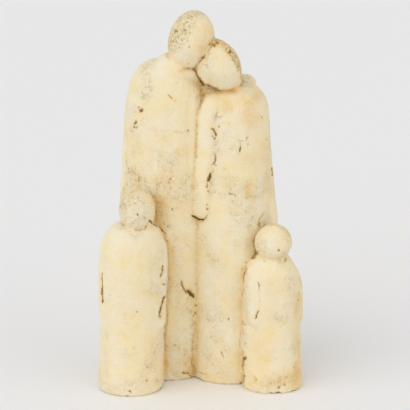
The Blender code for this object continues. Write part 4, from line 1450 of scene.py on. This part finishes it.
# %% Fields that the wash reads
def wash_fields(tree):
    """Every mask and every cloud, by name. Pricks are the points of the hair, and a scribble is a
    thin curl: the place where a cloud crosses its middle value."""
    start = Wire(tree)
    place = start.node("ShaderNodeTexCoord", {}, output="Object")

    def cloud(scale, detail=3.0, roughness=0.55, distortion=0.0):
        """Soft random clouds about 1 / scale metres wide, from 0 to 1."""
        return start.node("ShaderNodeTexNoise", {
            "Vector": place, "Scale": scale, "Detail": detail, "Roughness": roughness,
            "Distortion": distortion,
        }, output="Fac")

    def mask(name):
        return start.node("ShaderNodeAttribute", {}, output="Fac", attribute_name=name)

    field = SimpleNamespace(**{name: mask(name) for name in masks})
    field.grain = cloud(900.0, 2.0)
    field.fine = cloud(420.0, 4.0, 0.65)
    field.mottle = cloud(210.0, 4.0, 0.6, 0.3)
    field.patch = cloud(90.0, 4.0, 0.6, 0.4)
    field.area = cloud(26.0, 3.0, 0.5)
    field.flecks = cloud(560.0, 3.0, 0.7, 0.9)
    dots = cloud(620.0, 2.0, 0.5, 0.6).rise(0.53, 0.66)
    field.pricks = dots * field.hair.rise(0.05, 0.7)
    curls = (cloud(230.0, 1.0, 0.5, 0.8) - 0.5).size().rise(0.05, 0.01)
    field.scribble = curls * cloud(170.0, 1.0).rise(0.53, 0.61) * field.rough.rise(0.25, 0.95)
    return field


# %% [markdown]
# The colour is built as the maker built it, coat over coat, each with the share of the skin that it
# covers: chalk where the wash is rubbed, ochre where it gathered, rust in the rough places and
# seams, brown in the hair and the small holes, and dirt in the deepest marks. Painted light rides
# on some coats: the warmer cream in broad hollows and the rust and brown in tight creases are
# partly painted shade, some ochre stains are painted shade and shadow, and some chalk stains are
# painted highlights.

# %% Coats of the wash
def wash_colour(field):
    """Two creams in soft clouds, the warmer one also painted shade in the broad hollows, then the
    coats over them in order. Returns the colour, how rubbed the wash is, and how much ochre wash
    lies on it. Both of these also carry painted light: highlights in the one and shade in the
    other."""
    # The warmer cream: random clouds of tone, plus painted shade in the broad hollows.
    warmth_and_painted_shade = (field.area.rise(0.38, 0.66) * 0.55 + field.patch.rise(0.38, 0.68) * 0.5
              + field.hollow_broad.rise(0.0, 0.6) * 0.5).held()
    # rubbed is the wash rubbed pale on high places, and also the painted highlights among the pale
    # stains.
    rubbed = (field.relief.rise(0.2, 1.2) * 0.40 + field.ochre.rise(0.0, -0.9) * 0.8
              + field.mottle.rise(0.52, 0.75) * 0.30).held()
    # The ochre wash in the hollows and stains, and also the painted shade and shadow among the
    # stains.
    settled_wash_and_painted_shade = (field.hollow_wide.rise(0.0, 0.62) * 0.75 + field.ochre.rise(0.0, 1.1) * 0.95
               + field.relief.rise(-0.3, -1.5) * 0.35 + field.mottle.rise(0.46, 0.26) * 0.30
               + field.patch.rise(0.54, 0.76) * 0.26) * field.fine.rise(0.2, 0.6)
    coats = [
        (CHALK, rubbed),
        (WARM_CREAM, field.hair.rise(0.0, 0.6) * 0.5),
        (OCHRE, field.hair.rise(0.6, 1.0) * 0.4),
        (OCHRE, settled_wash_and_painted_shade * 0.9),
        (CHALK, field.flecks.rise(0.47, 0.36) * field.rough * 0.35),
        (RUST, field.flecks.rise(0.56, 0.70) * field.rough.rise(0.1, 0.9) * 0.75),
        (RUST, field.specks * 0.8 + field.ochre.rise(0.5, 1.2) * (0.3 + field.fine) * 0.4),
        (RUST, field.scribble * 0.55),
        # Rust and brown in the tight creases: partly wash in the seams, partly painted shade.
        (RUST, field.hollow_tight.rise(0.20, 0.70) * field.fine.rise(0.25, 0.6) * 0.75),
        (BROWN, field.hollow_tight.rise(0.5, 1.0) * field.fine.rise(0.35, 0.6) * 0.7),
        (BROWN, field.stipple * 0.45 + field.pricks * 0.42),
        (BROWN, field.dark.rise(0.02, 0.55) * 0.85 * (0.6 + field.fine * 0.7)),
        (DIRT, field.dark.rise(0.45, 1.05) * 0.88),
    ]
    base = warmth_and_painted_shade.node("ShaderNodeMix", {0: warmth_and_painted_shade, 6: CREAM, 7: WARM_CREAM}, output=2,
                       data_type="RGBA")
    for tint, share in coats:
        base = base.coat(tint, share.held())
    return base, rubbed, settled_wash_and_painted_shade


# %% [markdown]
# The wash dried matt, a little more so where it is rubbed to chalk. A bump gives the grain that is
# too fine for the mesh, and the mesh itself has everything larger than that.

# %% Cream wash over cast clay
BUMP_STRENGTH = 0.9
BUMP_HEIGHT = 0.0009


def cream_wash():
    """The coats, a roughness near 0.8, and a bump from the finest clouds."""
    material = bpy.data.materials.new("cream wash")
    material.use_nodes = True
    tree = material.node_tree
    field = wash_fields(tree)
    base, rubbed, settled_wash_and_painted_shade = wash_colour(field)
    roughness = (0.78 + rubbed * 0.12 - settled_wash_and_painted_shade * 0.06).held()
    height = (field.fine * 0.6 + field.grain * 0.25 + field.mottle * 0.6
              + field.flecks * field.rough * 1.4 - field.pricks * 0.6 - field.scribble * 0.5)
    bump = height.node("ShaderNodeBump", {
        "Height": height, "Strength": BUMP_STRENGTH, "Distance": BUMP_HEIGHT,
    })
    shader = tree.nodes["Principled BSDF"]
    for name, wire in {"Base Color": base, "Roughness": roughness, "Normal": bump}.items():
        tree.links.new(wire.socket, shader.inputs[name])
    return material


finished.materials.clear()
finished.materials.append(cream_wash())
print("nodes in the wash:", len(finished.materials[0].node_tree.nodes))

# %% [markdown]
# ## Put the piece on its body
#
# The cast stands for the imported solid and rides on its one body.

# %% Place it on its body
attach(cast, "root")
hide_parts("family_group")
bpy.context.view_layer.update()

# %% [markdown]
# ## Floor and light
#
# The photograph was taken in a light tent: an almost white floor that runs out of the picture, a
# soft light from the upper left, and so much light bounced about that the shadows stay pale.

# %% Floor
FLOOR_RADIUS = 9.0
FLOOR_COLUMNS = 96
FLOOR_COLOUR = colour(241, 240, 239)
FLOOR_ROUGHNESS = 0.9


def round_floor(radius, columns):
    """A flat disc: one ring of points and one face."""
    turn = np.radians(all_round(columns))
    ring = np.stack([radius * np.cos(turn), radius * np.sin(turn), np.zeros(columns)], axis=1)
    mesh = bpy.data.meshes.new("floor")
    mesh.from_pydata(ring.tolist(), [], [tuple(range(columns))])
    return mesh


floor_material = bpy.data.materials.new("pale floor")
floor_material.use_nodes = True
floor_shader = floor_material.node_tree.nodes["Principled BSDF"]
floor_shader.inputs["Base Color"].default_value = FLOOR_COLOUR
floor_shader.inputs["Roughness"].default_value = FLOOR_ROUGHNESS
floor = bpy.data.objects.new("floor", round_floor(FLOOR_RADIUS, FLOOR_COLUMNS))
floor.data.materials.append(floor_material)
bpy.context.scene.collection.objects.link(floor)
floor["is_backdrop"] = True
print("floor radius in m:", FLOOR_RADIUS)

# %% Lights
WORLD_LIGHT = (0.97, 0.98, 1.0, 1.0)
WORLD_STRENGTH = 0.695


def soft_light(name, way, spread, strength, tint):
    """A wide, distant light: the lit wall of the tent that spans this many degrees."""
    data = bpy.data.lights.new(name, "SUN")
    data.angle = math.radians(spread)
    data.energy = strength
    data.color = tint
    lamp = bpy.data.objects.new(name, data)
    way = np.array(way) / np.linalg.norm(way)
    lamp.location = AIM + way
    lamp.rotation_euler = (math.acos(way[2]), 0, math.atan2(way[1], way[0]) + math.pi / 2)
    bpy.context.scene.collection.objects.link(lamp)


soft_light("key", (-0.68, -0.62, 0.60), 66, 1.08, (1.0, 1.0, 1.02))
soft_light("fill", (0.80, -0.50, 0.30), 60, 0.60, (1.0, 0.90, 0.72))

world = bpy.data.worlds.new("light tent")
world.use_nodes = True
background = world.node_tree.nodes["Background"]
background.inputs["Color"].default_value = WORLD_LIGHT
background.inputs["Strength"].default_value = WORLD_STRENGTH
bpy.context.scene.world = world
bpy.context.scene.view_settings.view_transform = "Standard"

# %% [markdown]
# ## The size against the imported model
#
# How far the finished piece reaches beyond the imported model's box is printed, in millimetres.
# The finished piece has to stay inside the imported model's box, apart from a few millimetres.

# %% Print the growth
sizes = {"cad": cad_box, "visual": [list(corner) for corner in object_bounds()]}
print("growth in mm:", [
    [round((new - old) / MM, 1) for old, new in zip(cad, visual)]
    for cad, visual in zip(sizes["cad"], sizes["visual"])
])
